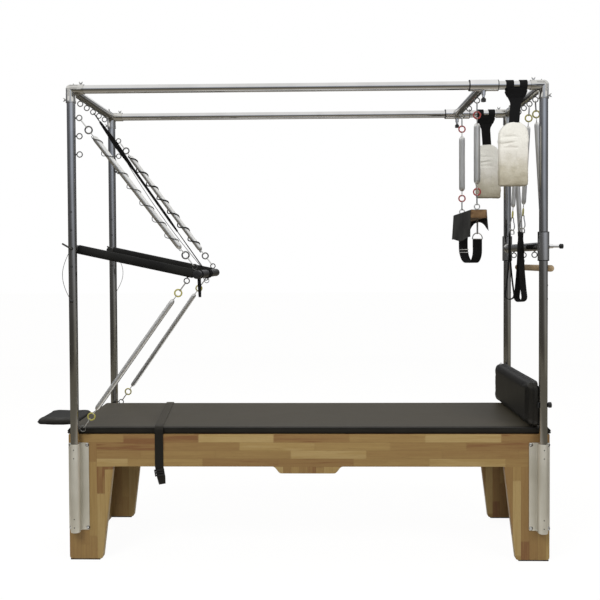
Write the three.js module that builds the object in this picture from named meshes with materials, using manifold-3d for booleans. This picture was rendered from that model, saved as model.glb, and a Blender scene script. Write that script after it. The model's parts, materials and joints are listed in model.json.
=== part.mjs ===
// Pilates trapeze table: a padded bench of glued wood staves under a canopy of polished steel tubes.
// The canopy carries a push-through bar on four springs, a sliding trapeze, hanging straps and a
// roll-down bar. Lengths are in millimetres. X runs along the bench, Y across it and Z up.
import * as THREE from 'three'
import { mergeVertices } from 'three/addons/utils/BufferGeometryUtils.js'
import Module from 'manifold-3d'

const wasm = await Module()
wasm.setup()

// Bench
const frame_length = 2166
const frame_width = 644
const wood_top = 573
const wood_board = 36
const rail_height = 147
const leg_foot_width = 152
const leg_rail_width = 202
const end_leg_foot_width = 118
const leg_corner_radius = 14
const apron_drop = 31
const apron_top_width = 318
const apron_low_width = 236
const foot_rubber = 5
const foot_rubber_inset = 3
const deck_thickness = 18
const cleat_depth = 28
const cleat_height = 40

// Canopy tubes
const tube_diameter = 38
const post_inset = 38
const post_offset = 28
const canopy_height = 2120
const fitting_wall = 3
const fitting_arm = 60
const fitting_grip_share = 0.75
const tube_end_setback = 25
const wing_screw_reach = 15
const wing_width = 17
const wing_thickness = 4

// Post sockets
const socket_flange_width = 90
const socket_flange_height = 396
const socket_flange_wall = 4
const socket_wall = 3
const socket_top = 536
const socket_web_share = 0.6

// Ring eyes, in the plane of the bench's long side
const eye_radius = 12
const eye_wire = 2.5
const eye_stem = 3
const crossbar_eye_pitch = 105
const post_eye_drop = 126
const post_eye_pitch = 81
const post_eye_low = 604
const post_hole_radius = 4.5

// Push-through bar
const bar_pivot_height = 1413
const bar_pivot_hole_pitch = 81
const bar_arm_length = 565
const bar_arm_drop_degrees = 12.2
const bar_arm_offset = 306
const bar_arm_radius = 15
const bar_hub_radius = 17
const bar_hub_length = 48
const bar_end_overhang = 27
const bar_top_eye_lean_degrees = 20
const bar_low_eye_setback = 42
const arm_cover_radius = 20.5
const arm_cover_hub_gap = 22
const arm_cover_end_gap = 24
const pivot_pin_radius = 6
const pivot_pin_collar = 9
const pivot_collar_length = 6
const pivot_handle_radius = 4
const pivot_handle_length = 50
const pivot_handle_lean_degrees = 30
const lanyard_radius = 1.2
const lanyard_bow = 46
const lanyard_drop = 232
const lanyard_clip = 7
const lanyard_steps = 8

// Springs and their hooks
const ring_radius = 16
const ring_wire = 3
const hook_wire = 2
const hook_reach = 67
const carabiner_reach = 87
const carabiner_half_width = 11
const spring_neck = 37
const coil_wire = 3.4
const push_spring_width = 26
const lower_spring_width = 23
const trapeze_spring_width = 29
const strap_spring_width = 22
const roll_spring_width = 24
const safety_cord_radius = 2.4
const safety_cord_turns = 7
const safety_cord_tie = 8

// Sliders
const slider_wall = 6
const slider_length = 129
const slider_inset = 263
const end_slider_drop = 708
const slider_eye_pitch = 200
const plunger_boss_radius = 9
const plunger_boss_length = 18
const plunger_pin_radius = 4
const plunger_knob_radius = 11
const plunger_knob_length = 17
const plunger_gap = 12
const end_plunger_gap = 26

// Trapeze
const board_width = 72
const board_thickness = 37
const board_length = 490
const board_drop = 539
const board_edge_round = 4
const cover_wall = 3
const cover_margin = 8
const cover_flap = 118
const cover_flap_rise = 26
const cover_hole_radius = 6
const sling_width = 48
const sling_wall = 3
const sling_span = 176
const sling_drop = 242
const sling_round = 60
const sling_top_round = 10

// Hanging straps
const fleece_strap_inset = 120
const yoke_wall = 3
const yoke_leg_width = 34
const yoke_width = 93
const yoke_neck_width = 43
const yoke_taper_drop = 84
const yoke_plate_wall = 6
const fleece_drop = 160
const fleece_height = 285
const fleece_width = 126
const fleece_depth = 46
const fleece_top_round = 58
const fleece_foot_share = 0.35
const foot_strap_wall = 4
const foot_strap_width = 42
const foot_strap_drop = 6
const foot_strap_length = 330
const foot_strap_round = 24
const foot_strap_hole_drop = 86
const foot_strap_lean = 34
const foot_ring_drop = 630
const roll_bar_radius = 15
const roll_bar_length = 620
const roll_bar_drop = 806
const roll_bar_lean = 45

// Pads
const mattress_thickness = 34
const mattress_side_gap = 7
const mattress_end_gap = 3
const mattress_crown = 3
const mattress_corner = 22
const mattress_roll = 9
const mattress_draw_in = 2
const footboard_thickness = 42
const footboard_width = 650
const footboard_height = 205
const footboard_corner = 42
const footboard_crown = 4
const footboard_lug_width = 24
const footboard_lug_wall = 8
const footboard_lug_overlap = 60
const footboard_bolt_height = 710
const footboard_bolt_radius = 4
const footboard_knob_radius = 13
const footboard_knob_length = 17
const head_pad_reach = 207
const head_pad_width = 250
const head_pad_bottom = 577
const head_pad_thickness = 24
const head_pad_corner = 45
const head_pad_batten_depth = 22
const head_pad_batten_height = 42

// Safety strap and bench belt
const safety_strap_width = 30
const safety_strap_wall = 4
const belt_inset = 412
const belt_width = 38
const belt_wall = 2.4
const belt_skew = 67
const belt_tail = 82
const belt_buckle_height = 30
const belt_buckle_wall = 7

// Clearances, cutting and smoothness
const gap = 0.3
const bore_gap = 0.4
const hook_play = 0.6
const strap_play = 0.6
const cut_overrun = 2
const weld_bite = 0.6
const tube_sides = 14
const fitting_sides = 12
const small_sides = 8
const wire_sides = 4
const eye_steps = 8
const coil_sides = 4
const curl_steps = 8
const winding_steps = 7
const winding_ramp_steps = 2
const curve_steps = 4
const band_curve_steps = 3
const loop_curve_steps = 5
const board_curve_steps = 2
const pad_corner_steps = 4
const fleece_corner_steps = 3
const hook_steps = 3

// Places worked out from the sizes above
const tube_radius = tube_diameter / 2
const fitting_radius = tube_radius + fitting_wall
const wood_face = frame_width / 2
const post_y = wood_face + post_offset
const rail_low = wood_top - rail_height
const foot_low = foot_rubber + gap
const frame_end = frame_length / 2
const post_x = frame_end - post_inset
const slider_x = post_x - slider_inset
const fleece_strap_x = post_x - fleece_strap_inset
const belt_x = belt_inset - frame_end
const post_eye_top = canopy_height - post_eye_drop
const board_top = canopy_height - board_drop
const sling_low = board_top - sling_drop
const yoke_taper_low = canopy_height - yoke_taper_drop
const fleece_top = canopy_height - fleece_drop
const foot_ring_height = canopy_height - foot_ring_drop
const foot_strap_top = foot_ring_height - foot_strap_drop
const foot_strap_low = foot_strap_top - foot_strap_length
const foot_strap_hole_top = foot_strap_top - foot_strap_hole_drop
const roll_bar_height = canopy_height - roll_bar_drop
const end_slider_height = canopy_height - end_slider_drop
const inner_face = wood_face - wood_board
const eye_offset = eye_stem + eye_wire + eye_radius
const hook_bend = eye_wire + hook_wire + hook_play
const mattress_top = wood_top + gap + mattress_thickness
const bar_drop = THREE.MathUtils.degToRad(bar_arm_drop_degrees)
const both_sides = [['front', -1], ['rear', 1]]
const both_ends = [['left', -1], ['right', 1]]
const x_axis = new THREE.Vector3(1, 0, 0)
const y_axis = new THREE.Vector3(0, 1, 0)
const z_axis = new THREE.Vector3(0, 0, 1)

const table = new THREE.Group()

// Materials, one colour and finish for each kind of stock
const finishes = {
  steel: [0xb4b6ba, 0.22, 0.95],
  socket_metal: [0xaaa596, 0.42, 0.85],
  fitting_metal: [0xa6a7a8, 0.3, 0.9],
  wood: [0x967b4e, 0.55, 0],
  deck_wood: [0xb09468, 0.7, 0],
  pad_cover: [0x24231f, 0.42, 0],
  rubber: [0x161616, 0.85, 0],
  webbing: [0x121213, 0.8, 0],
  fleece: [0xebe8de, 0.95, 0],
  spring_steel: [0xa9abae, 0.3, 0.95],
  dark_steel: [0x4a4a48, 0.4, 0.8],
  knob_plastic: [0x111111, 0.5, 0],
  board_wood: [0x785a32, 0.55, 0],
  hide: [0x373735, 0.6, 0],
  dowel_wood: [0xaf9664, 0.5, 0],
}

function place(name, form, finish) {
  const [colour, roughness, metalness] = finishes[finish]
  const material = new THREE.MeshStandardMaterial({ color: colour, roughness, metalness })
  const mesh = new THREE.Mesh(form instanceof wasm.Manifold ? meshOf(form) : form, material)
  mesh.name = name
  table.add(mesh)
}

// A closed geometry becomes a solid that can be cut and joined
function solid(geometry) {
  const bare = new THREE.BufferGeometry()
  bare.setAttribute('position', geometry.getAttribute('position').clone())
  bare.setIndex(geometry.getIndex())
  const merged = mergeVertices(bare)
  const corners = merged.index.array
  const kept = []
  for (let i = 0; i < corners.length; i += 3) {
    const [a, b, c] = [corners[i], corners[i + 1], corners[i + 2]]
    if (a !== b && b !== c && c !== a) kept.push(a, b, c)
  }
  return new wasm.Manifold(new wasm.Mesh({
    numProp: 3,
    vertProperties: merged.getAttribute('position').array,
    triVerts: new Uint32Array(kept),
  }))
}

function meshOf(manifold) {
  const mesh = manifold.getMesh()
  const geometry = new THREE.BufferGeometry()
  geometry.setAttribute('position', new THREE.BufferAttribute(mesh.vertProperties, 3))
  geometry.setIndex(new THREE.BufferAttribute(mesh.triVerts, 1))
  geometry.computeVertexNormals()
  return geometry
}

function joined(pieces) {
  return pieces.reduce((whole, piece) => whole.add(piece))
}

function cutFrom(whole, tools) {
  return tools.reduce((rest, tool) => rest.subtract(tool), whole)
}

function at(x, y, z) {
  return new THREE.Vector3(x, y, z)
}

function along(start, direction, distance) {
  return start.clone().addScaledVector(direction, distance)
}

function rod(from, to, radius, sides = tube_sides) {
  const span = to.clone().sub(from)
  const shape = new THREE.CylinderGeometry(radius, radius, span.length(), sides)
  shape.applyQuaternion(new THREE.Quaternion().setFromUnitVectors(y_axis, span.normalize()))
  const middle = from.clone().add(to).divideScalar(2)
  return solid(shape.translate(middle.x, middle.y, middle.z))
}

function box(low, high) {
  const size = high.clone().sub(low)
  const middle = low.clone().add(high).divideScalar(2)
  return solid(new THREE.BoxGeometry(size.x, size.y, size.z).translate(middle.x, middle.y, middle.z))
}

function ball(centre, radius, sides) {
  return solid(new THREE.SphereGeometry(radius, sides, sides / 2).translate(centre.x, centre.y, centre.z))
}

// An outline drawn in X and Z becomes a board between two Y planes
function boardAcrossY(outline, low_y, high_y, curveSegments = curve_steps) {
  const depth = high_y - low_y
  const shape = new THREE.ExtrudeGeometry(outline, { depth, bevelEnabled: false, curveSegments })
  shape.rotateX(Math.PI / 2).translate(0, high_y, 0)
  return solid(shape)
}

// An outline drawn in Y and Z becomes a board between two X planes
function boardAcrossX(outline, low_x, high_x, curveSegments = curve_steps) {
  const depth = high_x - low_x
  const shape = new THREE.ExtrudeGeometry(outline, { depth, bevelEnabled: false, curveSegments })
  shape.rotateX(Math.PI / 2).rotateZ(Math.PI / 2).translate(low_x, 0, 0)
  return solid(shape)
}

function roundedRectangle(low_u, high_u, low_v, high_v, radius_low, radius_high) {
  const outline = new THREE.Shape()
  outline.moveTo(low_u + radius_low, low_v)
  outline.lineTo(high_u - radius_low, low_v)
  outline.absarc(high_u - radius_low, low_v + radius_low, radius_low, -Math.PI / 2, 0)
  outline.absarc(high_u - radius_high, high_v - radius_high, radius_high, 0, Math.PI / 2)
  outline.absarc(low_u + radius_high, high_v - radius_high, radius_high, Math.PI / 2, Math.PI)
  outline.absarc(low_u + radius_low, low_v + radius_low, radius_low, Math.PI, Math.PI * 3 / 2)
  outline.closePath()
  return outline
}

// A round wire swept along points, with frames carried along the path so that it never twists
function wire(points, radius, sides, first_normal, closed = false) {
  const count = points.length
  const corners = []
  const faces = []
  const normal = first_normal.clone()
  points.forEach((point, i) => {
    const before = points[closed ? (i + count - 1) % count : Math.max(i - 1, 0)]
    const after = points[closed ? (i + 1) % count : Math.min(i + 1, count - 1)]
    const tangent = after.clone().sub(before).normalize()
    normal.addScaledVector(tangent, -normal.dot(tangent)).normalize()
    const side = tangent.clone().cross(normal)
    for (let s = 0; s < sides; s++) {
      const turn = Math.PI * 2 * s / sides
      const corner = along(point, normal, radius * Math.cos(turn))
      corner.addScaledVector(side, radius * Math.sin(turn))
      corners.push(corner.x, corner.y, corner.z)
    }
  })
  const rings = closed ? count : count - 1
  for (let i = 0; i < rings; i++) {
    const here = i * sides
    const there = ((i + 1) % count) * sides
    for (let s = 0; s < sides; s++) {
      const next = (s + 1) % sides
      faces.push(here + s, here + next, there + s, here + next, there + next, there + s)
    }
  }
  if (!closed) {
    const last = (count - 1) * sides
    for (let s = 1; s < sides - 1; s++) {
      faces.push(0, s + 1, s, last, last + s, last + s + 1)
    }
  }
  const geometry = new THREE.BufferGeometry()
  geometry.setAttribute('position', new THREE.Float32BufferAttribute(corners, 3))
  geometry.setIndex(faces)
  return geometry
}

// A ring of wire that faces front, and the stem that holds it off its carrier's surface
function ring(centre, radius, wire_radius) {
  const shape = new THREE.TorusGeometry(radius, wire_radius, wire_sides, eye_steps)
  return solid(shape.rotateX(Math.PI / 2).translate(centre.x, centre.y, centre.z))
}

function eyeCentre(carrier, direction, carrier_radius) {
  return along(carrier, direction, carrier_radius + eye_offset)
}

function eye(carrier, direction, carrier_radius) {
  const centre = eyeCentre(carrier, direction, carrier_radius)
  const root = along(carrier, direction, carrier_radius - cut_overrun)
  const tip = along(centre, direction, -eye_radius)
  return joined([ring(centre, eye_radius, eye_wire), rod(root, tip, eye_wire, wire_sides)])
}

// Cushion: rings of a rounded outline, drawn in a little between the corners, at rising heights.
// Each row is an inset from the outline and a height, and the first and last rows close to a centre.
function cushion(half_u, half_v, radius_low, radius_high, draw_in, rows, corner_steps) {
  const corners = []
  const faces = []
  const quarter = [
    [1, -1, -Math.PI / 2, radius_low], [1, 1, 0, radius_high],
    [-1, 1, Math.PI / 2, radius_high], [-1, -1, Math.PI, radius_low],
  ]
  const ring_count = 4 * (corner_steps + 1) + 4
  rows.forEach(([inset, height]) => {
    const outline = []
    const wide = half_u - inset
    const tall = half_v - inset
    quarter.forEach(([side_u, side_v, start, full_radius]) => {
      const radius = Math.max(full_radius - inset, 0)
      for (let i = 0; i <= corner_steps; i++) {
        const turn = start + Math.PI / 2 * i / corner_steps
        outline.push([
          side_u * (wide - radius) + radius * Math.cos(turn),
          side_v * (tall - radius) + radius * Math.sin(turn),
        ])
      }
      outline.push(side_u * side_v < 0 ? [side_u * wide, 0] : [0, side_v * tall])
    })
    outline.forEach(([u, v]) => {
      const pull_u = Math.sign(u) * draw_in * Math.max(0, 1 - (v / tall) ** 2) * Math.abs(u) / half_u
      const pull_v = Math.sign(v) * draw_in * Math.max(0, 1 - (u / wide) ** 2) * Math.abs(v) / half_v
      corners.push(u - pull_u, v - pull_v, height)
    })
  })
  for (let r = 0; r < rows.length - 1; r++) {
    for (let s = 0; s < ring_count; s++) {
      const next = (s + 1) % ring_count
      const here = r * ring_count
      const there = here + ring_count
      faces.push(here + s, here + next, there + s, here + next, there + next, there + s)
    }
  }
  const low_centre = corners.length / 3
  corners.push(0, 0, rows[0][1], 0, 0, rows[rows.length - 1][1])
  const last = (rows.length - 1) * ring_count
  for (let s = 0; s < ring_count; s++) {
    const next = (s + 1) % ring_count
    faces.push(low_centre, next, s, low_centre + 1, last + s, last + next)
  }
  const geometry = new THREE.BufferGeometry()
  geometry.setAttribute('position', new THREE.Float32BufferAttribute(corners, 3))
  geometry.setIndex(faces)
  return geometry
}

// Bench: each side is one glued panel, a rail with a leg at both ends and a shaped apron
function sidePanel(side) {
  const foot_x = frame_end - leg_foot_width
  const knee_x = frame_end - leg_rail_width
  const apron_x = apron_top_width / 2
  const apron_low_x = apron_low_width / 2
  const apron_mid_x = (apron_x + apron_low_x) / 2
  const apron_low = rail_low - apron_drop
  const apron_mid = rail_low - apron_drop / 2
  const r = leg_corner_radius
  const outline = new THREE.Shape()
  outline.moveTo(-frame_end, wood_top)
  outline.lineTo(-frame_end, foot_low + r)
  outline.quadraticCurveTo(-frame_end, foot_low, -frame_end + r, foot_low)
  outline.lineTo(-foot_x - r, foot_low)
  outline.quadraticCurveTo(-foot_x, foot_low, -foot_x, foot_low + r)
  outline.lineTo(-knee_x, rail_low)
  outline.lineTo(-apron_x, rail_low)
  outline.quadraticCurveTo(-(apron_x + apron_mid_x) / 2, rail_low, -apron_mid_x, apron_mid)
  outline.quadraticCurveTo(-(apron_low_x + apron_mid_x) / 2, apron_low, -apron_low_x, apron_low)
  outline.lineTo(apron_low_x, apron_low)
  outline.quadraticCurveTo((apron_low_x + apron_mid_x) / 2, apron_low, apron_mid_x, apron_mid)
  outline.quadraticCurveTo((apron_x + apron_mid_x) / 2, rail_low, apron_x, rail_low)
  outline.lineTo(knee_x, rail_low)
  outline.lineTo(foot_x, foot_low + r)
  outline.quadraticCurveTo(foot_x, foot_low, foot_x + r, foot_low)
  outline.lineTo(frame_end - r, foot_low)
  outline.quadraticCurveTo(frame_end, foot_low, frame_end, foot_low + r)
  outline.lineTo(frame_end, wood_top)
  outline.closePath()
  const panel = boardAcrossY(outline, side < 0 ? -wood_face : inner_face, side < 0 ? -inner_face : wood_face)
  const deck_low = wood_top - deck_thickness - gap
  const cleat_x = frame_end - wood_board - gap
  const cleat_near = inner_face - cleat_depth
  const cleat_far = inner_face + weld_bite
  const cleat = box(
    at(-cleat_x, side < 0 ? -cleat_far : cleat_near, deck_low - cleat_height),
    at(cleat_x, side < 0 ? -cleat_near : cleat_far, deck_low),
  )
  return panel.add(cleat)
}

// The end panel stands between the side panels, with legs that widen upwards like theirs
function endPanel(end) {
  const half = inner_face - gap
  const foot_y = inner_face - end_leg_foot_width
  const knee_y = foot_y - (leg_rail_width - leg_foot_width)
  const outline = new THREE.Shape()
  outline.moveTo(-half, wood_top)
  outline.lineTo(-half, foot_low)
  outline.lineTo(-foot_y, foot_low)
  outline.lineTo(-knee_y, rail_low)
  outline.lineTo(knee_y, rail_low)
  outline.lineTo(foot_y, foot_low)
  outline.lineTo(half, foot_low)
  outline.lineTo(half, wood_top)
  outline.closePath()
  return end < 0
    ? boardAcrossX(outline, -frame_end, -frame_end + wood_board)
    : boardAcrossX(outline, frame_end - wood_board, frame_end)
}

// Rubber shoe under the corner where a side leg and an end leg meet
function footPad(end, side) {
  const out_x = frame_end - foot_rubber_inset
  const out_y = wood_face - foot_rubber_inset
  const leg_x = frame_end - leg_foot_width + leg_corner_radius
  const leg_y = inner_face - end_leg_foot_width + foot_rubber_inset
  const in_x = frame_end - wood_board + foot_rubber_inset
  const in_y = inner_face + foot_rubber_inset
  const side_y = [in_y, out_y].map((y) => side * y).sort((a, b) => a - b)
  const side_x = [leg_x, out_x].map((x) => end * x).sort((a, b) => a - b)
  const end_y = [leg_y, out_y].map((y) => side * y).sort((a, b) => a - b)
  const end_x = [in_x, out_x].map((x) => end * x).sort((a, b) => a - b)
  return box(at(side_x[0], side_y[0], 0), at(side_x[1], side_y[1], foot_rubber))
    .add(box(at(end_x[0], end_y[0], 0), at(end_x[1], end_y[1], foot_rubber)))
}

for (const [side_name, side] of both_sides) {
  place(`side_frame_${side_name}`, sidePanel(side), 'wood')
  for (const [end_name, end] of both_ends) {
    place(`foot_pad_${side_name}_${end_name}`, footPad(end, side), 'rubber')
  }
}
for (const [end_name, end] of both_ends) {
  place(`end_panel_${end_name}`, endPanel(end), 'wood')
}
const deck_x = frame_end - wood_board - gap
const deck_y = inner_face - gap
const deck = box(at(-deck_x, -deck_y, wood_top - deck_thickness), at(deck_x, deck_y, wood_top))
place('deck_board', deck, 'deck_wood')

// Pads
const mattress_half_x = frame_end - mattress_end_gap
const mattress_half_y = wood_face - mattress_side_gap
const mattress_low = wood_top + gap
const mattress_edge = mattress_top - mattress_crown
const mattress_rows = [
  [mattress_roll / 3, mattress_low],
  [0, mattress_low + mattress_roll / 3],
  [0, mattress_edge - mattress_roll],
  [mattress_roll / 4, mattress_edge - mattress_roll / 3],
  [mattress_roll, mattress_edge],
  [mattress_half_y / 4, mattress_top - mattress_crown / 3],
  [mattress_half_y / 2, mattress_top],
]
const mattress = cushion(
  mattress_half_x, mattress_half_y, mattress_corner, mattress_corner, mattress_draw_in, mattress_rows,
  pad_corner_steps,
)
place('mattress', mattress, 'pad_cover')

// The footboard pad stands on the mattress against the right posts, its soft face to the bench,
// with a lug behind each end that the bolts hold
const footboard_low = mattress_top + gap
const footboard_back = post_x - tube_radius - gap
const footboard_middle = footboard_low + footboard_height / 2
const footboard = cushion(
  footboard_height / 2, footboard_width / 2, footboard_corner, footboard_corner, mattress_draw_in, [
    [mattress_roll / 2, 0],
    [0, mattress_roll / 2],
    [0, footboard_thickness - footboard_crown - mattress_roll],
    [mattress_roll / 3, footboard_thickness - footboard_crown - mattress_roll / 3],
    [mattress_roll, footboard_thickness - footboard_crown],
    [footboard_height / 4, footboard_thickness],
  ], pad_corner_steps)
footboard.rotateY(-Math.PI / 2).translate(footboard_back, 0, footboard_middle)
const footboard_lugs = both_sides.map(([, side]) => {
  const reach_y = [footboard_width / 2 - footboard_lug_overlap, post_y + footboard_lug_width / 2]
  const lug_y = reach_y.map((y) => side * y).sort((a, b) => a - b)
  return box(
    at(footboard_back - footboard_lug_wall, lug_y[0], footboard_bolt_height - footboard_lug_width / 2),
    at(footboard_back, lug_y[1], footboard_bolt_height + footboard_lug_width / 2),
  )
})
place('footboard_pad', joined([solid(footboard), ...footboard_lugs]), 'pad_cover')

// The head pad hangs off the left end on a batten that is screwed to the end panel
const head_pad_near = -frame_end - gap
const head_pad_half = head_pad_reach / 2
const head_pad_top = head_pad_bottom + head_pad_thickness
const head_pad_cushion = cushion(head_pad_half, head_pad_width / 2, head_pad_corner, head_pad_corner, 0, [
  [mattress_roll / 3, head_pad_bottom],
  [0, head_pad_bottom + mattress_roll / 3],
  [0, head_pad_top - mattress_roll],
  [mattress_roll / 2, head_pad_top - mattress_roll / 4],
  [mattress_roll * 2, head_pad_top],
], pad_corner_steps)
head_pad_cushion.translate(head_pad_near - head_pad_half, 0, 0)
const head_pad_batten = box(
  at(head_pad_near - head_pad_batten_depth, -head_pad_width / 4, head_pad_bottom - head_pad_batten_height),
  at(head_pad_near, head_pad_width / 4, head_pad_bottom + weld_bite),
)
place('head_pad', solid(head_pad_cushion).add(head_pad_batten), 'pad_cover')

// Canopy: posts in clamped sockets, two rails and two end crossbars with three-way corner fittings
function postSocket(end, side) {
  const x = end * post_x
  const outer = tube_radius + socket_wall
  const flange_low = socket_top - socket_flange_height
  const flange_out = frame_end - foot_rubber_inset
  const flange_x = [flange_out - socket_flange_width, flange_out].map((edge) => end * edge)
  flange_x.sort((a, b) => a - b)
  const face = wood_face + gap
  const plate_y = [face, face + socket_flange_wall].map((y) => side * y).sort((a, b) => a - b)
  const plate = box(at(flange_x[0], plate_y[0], flange_low), at(flange_x[1], plate_y[1], socket_top))
  const web_y = [face + weld_bite, post_y].map((y) => side * y).sort((a, b) => a - b)
  const web_half = outer * socket_web_share
  const web = box(at(x - web_half, web_y[0], flange_low), at(x + web_half, web_y[1], socket_top))
  const housing_low = at(x, side * post_y, flange_low - socket_wall)
  const housing = rod(housing_low, at(x, side * post_y, socket_top), outer, fitting_sides)
  const bore = rod(
    at(x, side * post_y, flange_low + socket_wall),
    at(x, side * post_y, socket_top + cut_overrun),
    tube_radius + bore_gap,
  )
  return joined([plate, web, housing]).subtract(bore)
}

function post(end, side) {
  const x = end * post_x
  const y = side * post_y
  const low = socket_top - socket_flange_height + socket_wall + gap
  const high = canopy_height - tube_end_setback
  const shaft = rod(at(x, y, low), at(x, y, high), tube_radius)
  const tools = []
  const extras = []
  if (end < 0) {
    for (let i = 0; i < 3; i++) {
      extras.push(eye(at(x, y, post_eye_top - i * post_eye_pitch), x_axis, tube_radius))
    }
    extras.push(eye(at(x, y, post_eye_low), x_axis, tube_radius))
    for (let i = -1; i <= 2; i++) {
      const z = bar_pivot_height + i * bar_pivot_hole_pitch
      const radius = i === 0 ? pivot_pin_radius + bore_gap : post_hole_radius
      const reach = tube_radius + cut_overrun
      tools.push(rod(at(x, y - reach, z), at(x, y + reach, z), radius, small_sides))
    }
  } else {
    const reach = tube_radius + cut_overrun
    const z = footboard_bolt_height
    tools.push(rod(at(x - reach, y, z), at(x + reach, y, z), footboard_bolt_radius + bore_gap, small_sides))
  }
  return cutFrom(joined([shaft, ...extras]), tools)
}

// The flat thumb plate of a wing screw, standing on a fitting
function wingScrew(root, direction, spread) {
  const third = direction.clone().cross(spread)
  const reach = at(0, 0, 0)
  for (const [way, size] of [[spread, wing_width], [third, wing_thickness], [direction, wing_screw_reach]]) {
    reach.add(at(Math.abs(way.x), Math.abs(way.y), Math.abs(way.z)).multiplyScalar(size / 2))
  }
  const middle = along(root, direction, wing_screw_reach / 2)
  return box(middle.clone().sub(reach), middle.clone().add(reach))
}

function endCrossbar(end) {
  const x = end * post_x
  const inward = at(-end, 0, 0)
  const pieces = [rod(at(x, -post_y, canopy_height), at(x, post_y, canopy_height), tube_radius)]
  const tools = []
  for (const [, side] of both_sides) {
    const corner = at(x, side * post_y, canopy_height)
    const across = at(0, -side, 0)
    const down = at(0, 0, -1)
    pieces.push(ball(corner, fitting_radius, small_sides))
    for (const direction of [inward, across, down]) {
      pieces.push(rod(corner, along(corner, direction, fitting_arm), fitting_radius, fitting_sides))
    }
    const grip = fitting_arm * fitting_grip_share
    const surface = fitting_radius - cut_overrun
    pieces.push(wingScrew(along(along(corner, inward, grip), z_axis, surface), z_axis, x_axis))
    pieces.push(wingScrew(along(along(corner, across, grip), z_axis, surface), z_axis, y_axis))
    const outward = inward.clone().negate()
    pieces.push(wingScrew(along(along(corner, down, grip), outward, surface), outward, z_axis))
    for (const direction of [inward, down]) {
      const start = along(corner, direction, tube_end_setback - gap)
      tools.push(rod(start, along(corner, direction, fitting_arm + cut_overrun), tube_radius + bore_gap))
    }
  }
  for (let i = -2; i <= 2; i++) {
    pieces.push(eye(at(x, i * crossbar_eye_pitch, canopy_height), at(0, 0, -1), tube_radius))
  }
  return cutFrom(joined(pieces), tools)
}

for (const [side_name, side] of both_sides) {
  for (const [end_name, end] of both_ends) {
    place(`post_socket_${side_name}_${end_name}`, postSocket(end, side), 'socket_metal')
    place(`post_${side_name}_${end_name}`, post(end, side), 'steel')
  }
  const rail_end = at(post_x - tube_end_setback, side * post_y, canopy_height)
  const rail = rod(at(-rail_end.x, rail_end.y, rail_end.z), rail_end, tube_radius)
  place(`top_rail_${side_name}`, rail, 'steel')
}
for (const [end_name, end] of both_ends) {
  place(`end_crossbar_${end_name}`, endCrossbar(end), 'steel')
}

// Footboard bolts pass through the right posts to a knob outside
for (const [side_name, side] of both_sides) {
  const y = side * post_y
  const z = footboard_bolt_height
  const knob_x = post_x + tube_radius + gap
  const knob_start = at(knob_x, y, z)
  const knob_end = at(knob_x + footboard_knob_length, y, z)
  const bolt_start = at(footboard_back + gap, y, z)
  const bolt_end = at(knob_x + weld_bite, y, z)
  const bolt = rod(bolt_start, bolt_end, footboard_bolt_radius, small_sides)
  const knob = rod(knob_start, knob_end, footboard_knob_radius, small_sides)
  place(`footboard_bolt_${side_name}`, bolt.add(knob), 'knob_plastic')
}

// Sliders: a sleeve on each tube, a crossbar between them and a boss for the spring plunger
const sleeve_radius = tube_radius + slider_wall

function slider(centre, run, plunger_way) {
  const pieces = [rod(at(centre.x, -post_y, centre.z), at(centre.x, post_y, centre.z), tube_radius)]
  const tools = []
  for (const [, side] of both_sides) {
    const middle = at(centre.x, side * post_y, centre.z)
    const half = slider_length / 2
    pieces.push(rod(along(middle, run, -half), along(middle, run, half), sleeve_radius, fitting_sides))
    const boss_end = sleeve_radius + plunger_boss_length
    pieces.push(rod(middle, along(middle, plunger_way, boss_end), plunger_boss_radius, small_sides))
    const bore_half = half + cut_overrun
    tools.push(rod(along(middle, run, -bore_half), along(middle, run, bore_half), tube_radius + bore_gap))
    const pin_bore_end = along(middle, plunger_way, boss_end + cut_overrun)
    tools.push(rod(middle, pin_bore_end, plunger_pin_radius + bore_gap, small_sides))
  }
  for (let i = -1; i <= 1; i++) {
    pieces.push(eye(at(centre.x, i * slider_eye_pitch, centre.z), at(0, 0, -1), tube_radius))
  }
  return cutFrom(joined(pieces), tools)
}

function plunger(centre, way, knob_gap) {
  const knob_start = sleeve_radius + plunger_boss_length + knob_gap
  const pin = rod(
    along(centre, way, tube_radius + bore_gap),
    along(centre, way, knob_start + weld_bite),
    plunger_pin_radius,
    small_sides,
  )
  const knob = rod(
    along(centre, way, knob_start),
    along(centre, way, knob_start + plunger_knob_length),
    plunger_knob_radius,
    small_sides,
  )
  return pin.add(knob)
}

const down = at(0, 0, -1)
const top_slider_centre = at(slider_x, 0, canopy_height)
const end_slider_centre = at(post_x, 0, end_slider_height)
place('top_slider', slider(top_slider_centre, x_axis, down), 'steel')
place('end_slider', slider(end_slider_centre, z_axis, x_axis), 'steel')
for (const [side_name, side] of both_sides) {
  const top_place = at(slider_x, side * post_y, canopy_height)
  place(`top_plunger_${side_name}`, plunger(top_place, down, plunger_gap), 'knob_plastic')
  const end_place = at(post_x, side * post_y, end_slider_height)
  place(`end_plunger_${side_name}`, plunger(end_place, x_axis, end_plunger_gap), 'knob_plastic')
}

// Push-through bar: two arms, a crossbar and four eyes, hinged inside the left posts
const arm_way = at(Math.cos(bar_drop), 0, -Math.sin(bar_drop))
const arm_under = at(-Math.sin(bar_drop), 0, -Math.cos(bar_drop))
const top_eye_lean = THREE.MathUtils.degToRad(bar_top_eye_lean_degrees)
const top_eye_way = at(-Math.sin(top_eye_lean), 0, Math.cos(top_eye_lean))
const bar_pivot = at(-post_x, 0, bar_pivot_height)
const bar_cross = along(bar_pivot, arm_way, bar_arm_length)

function onArm(side, distance) {
  const point = along(bar_pivot, arm_way, distance)
  point.y = side * bar_arm_offset
  return point
}

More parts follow.
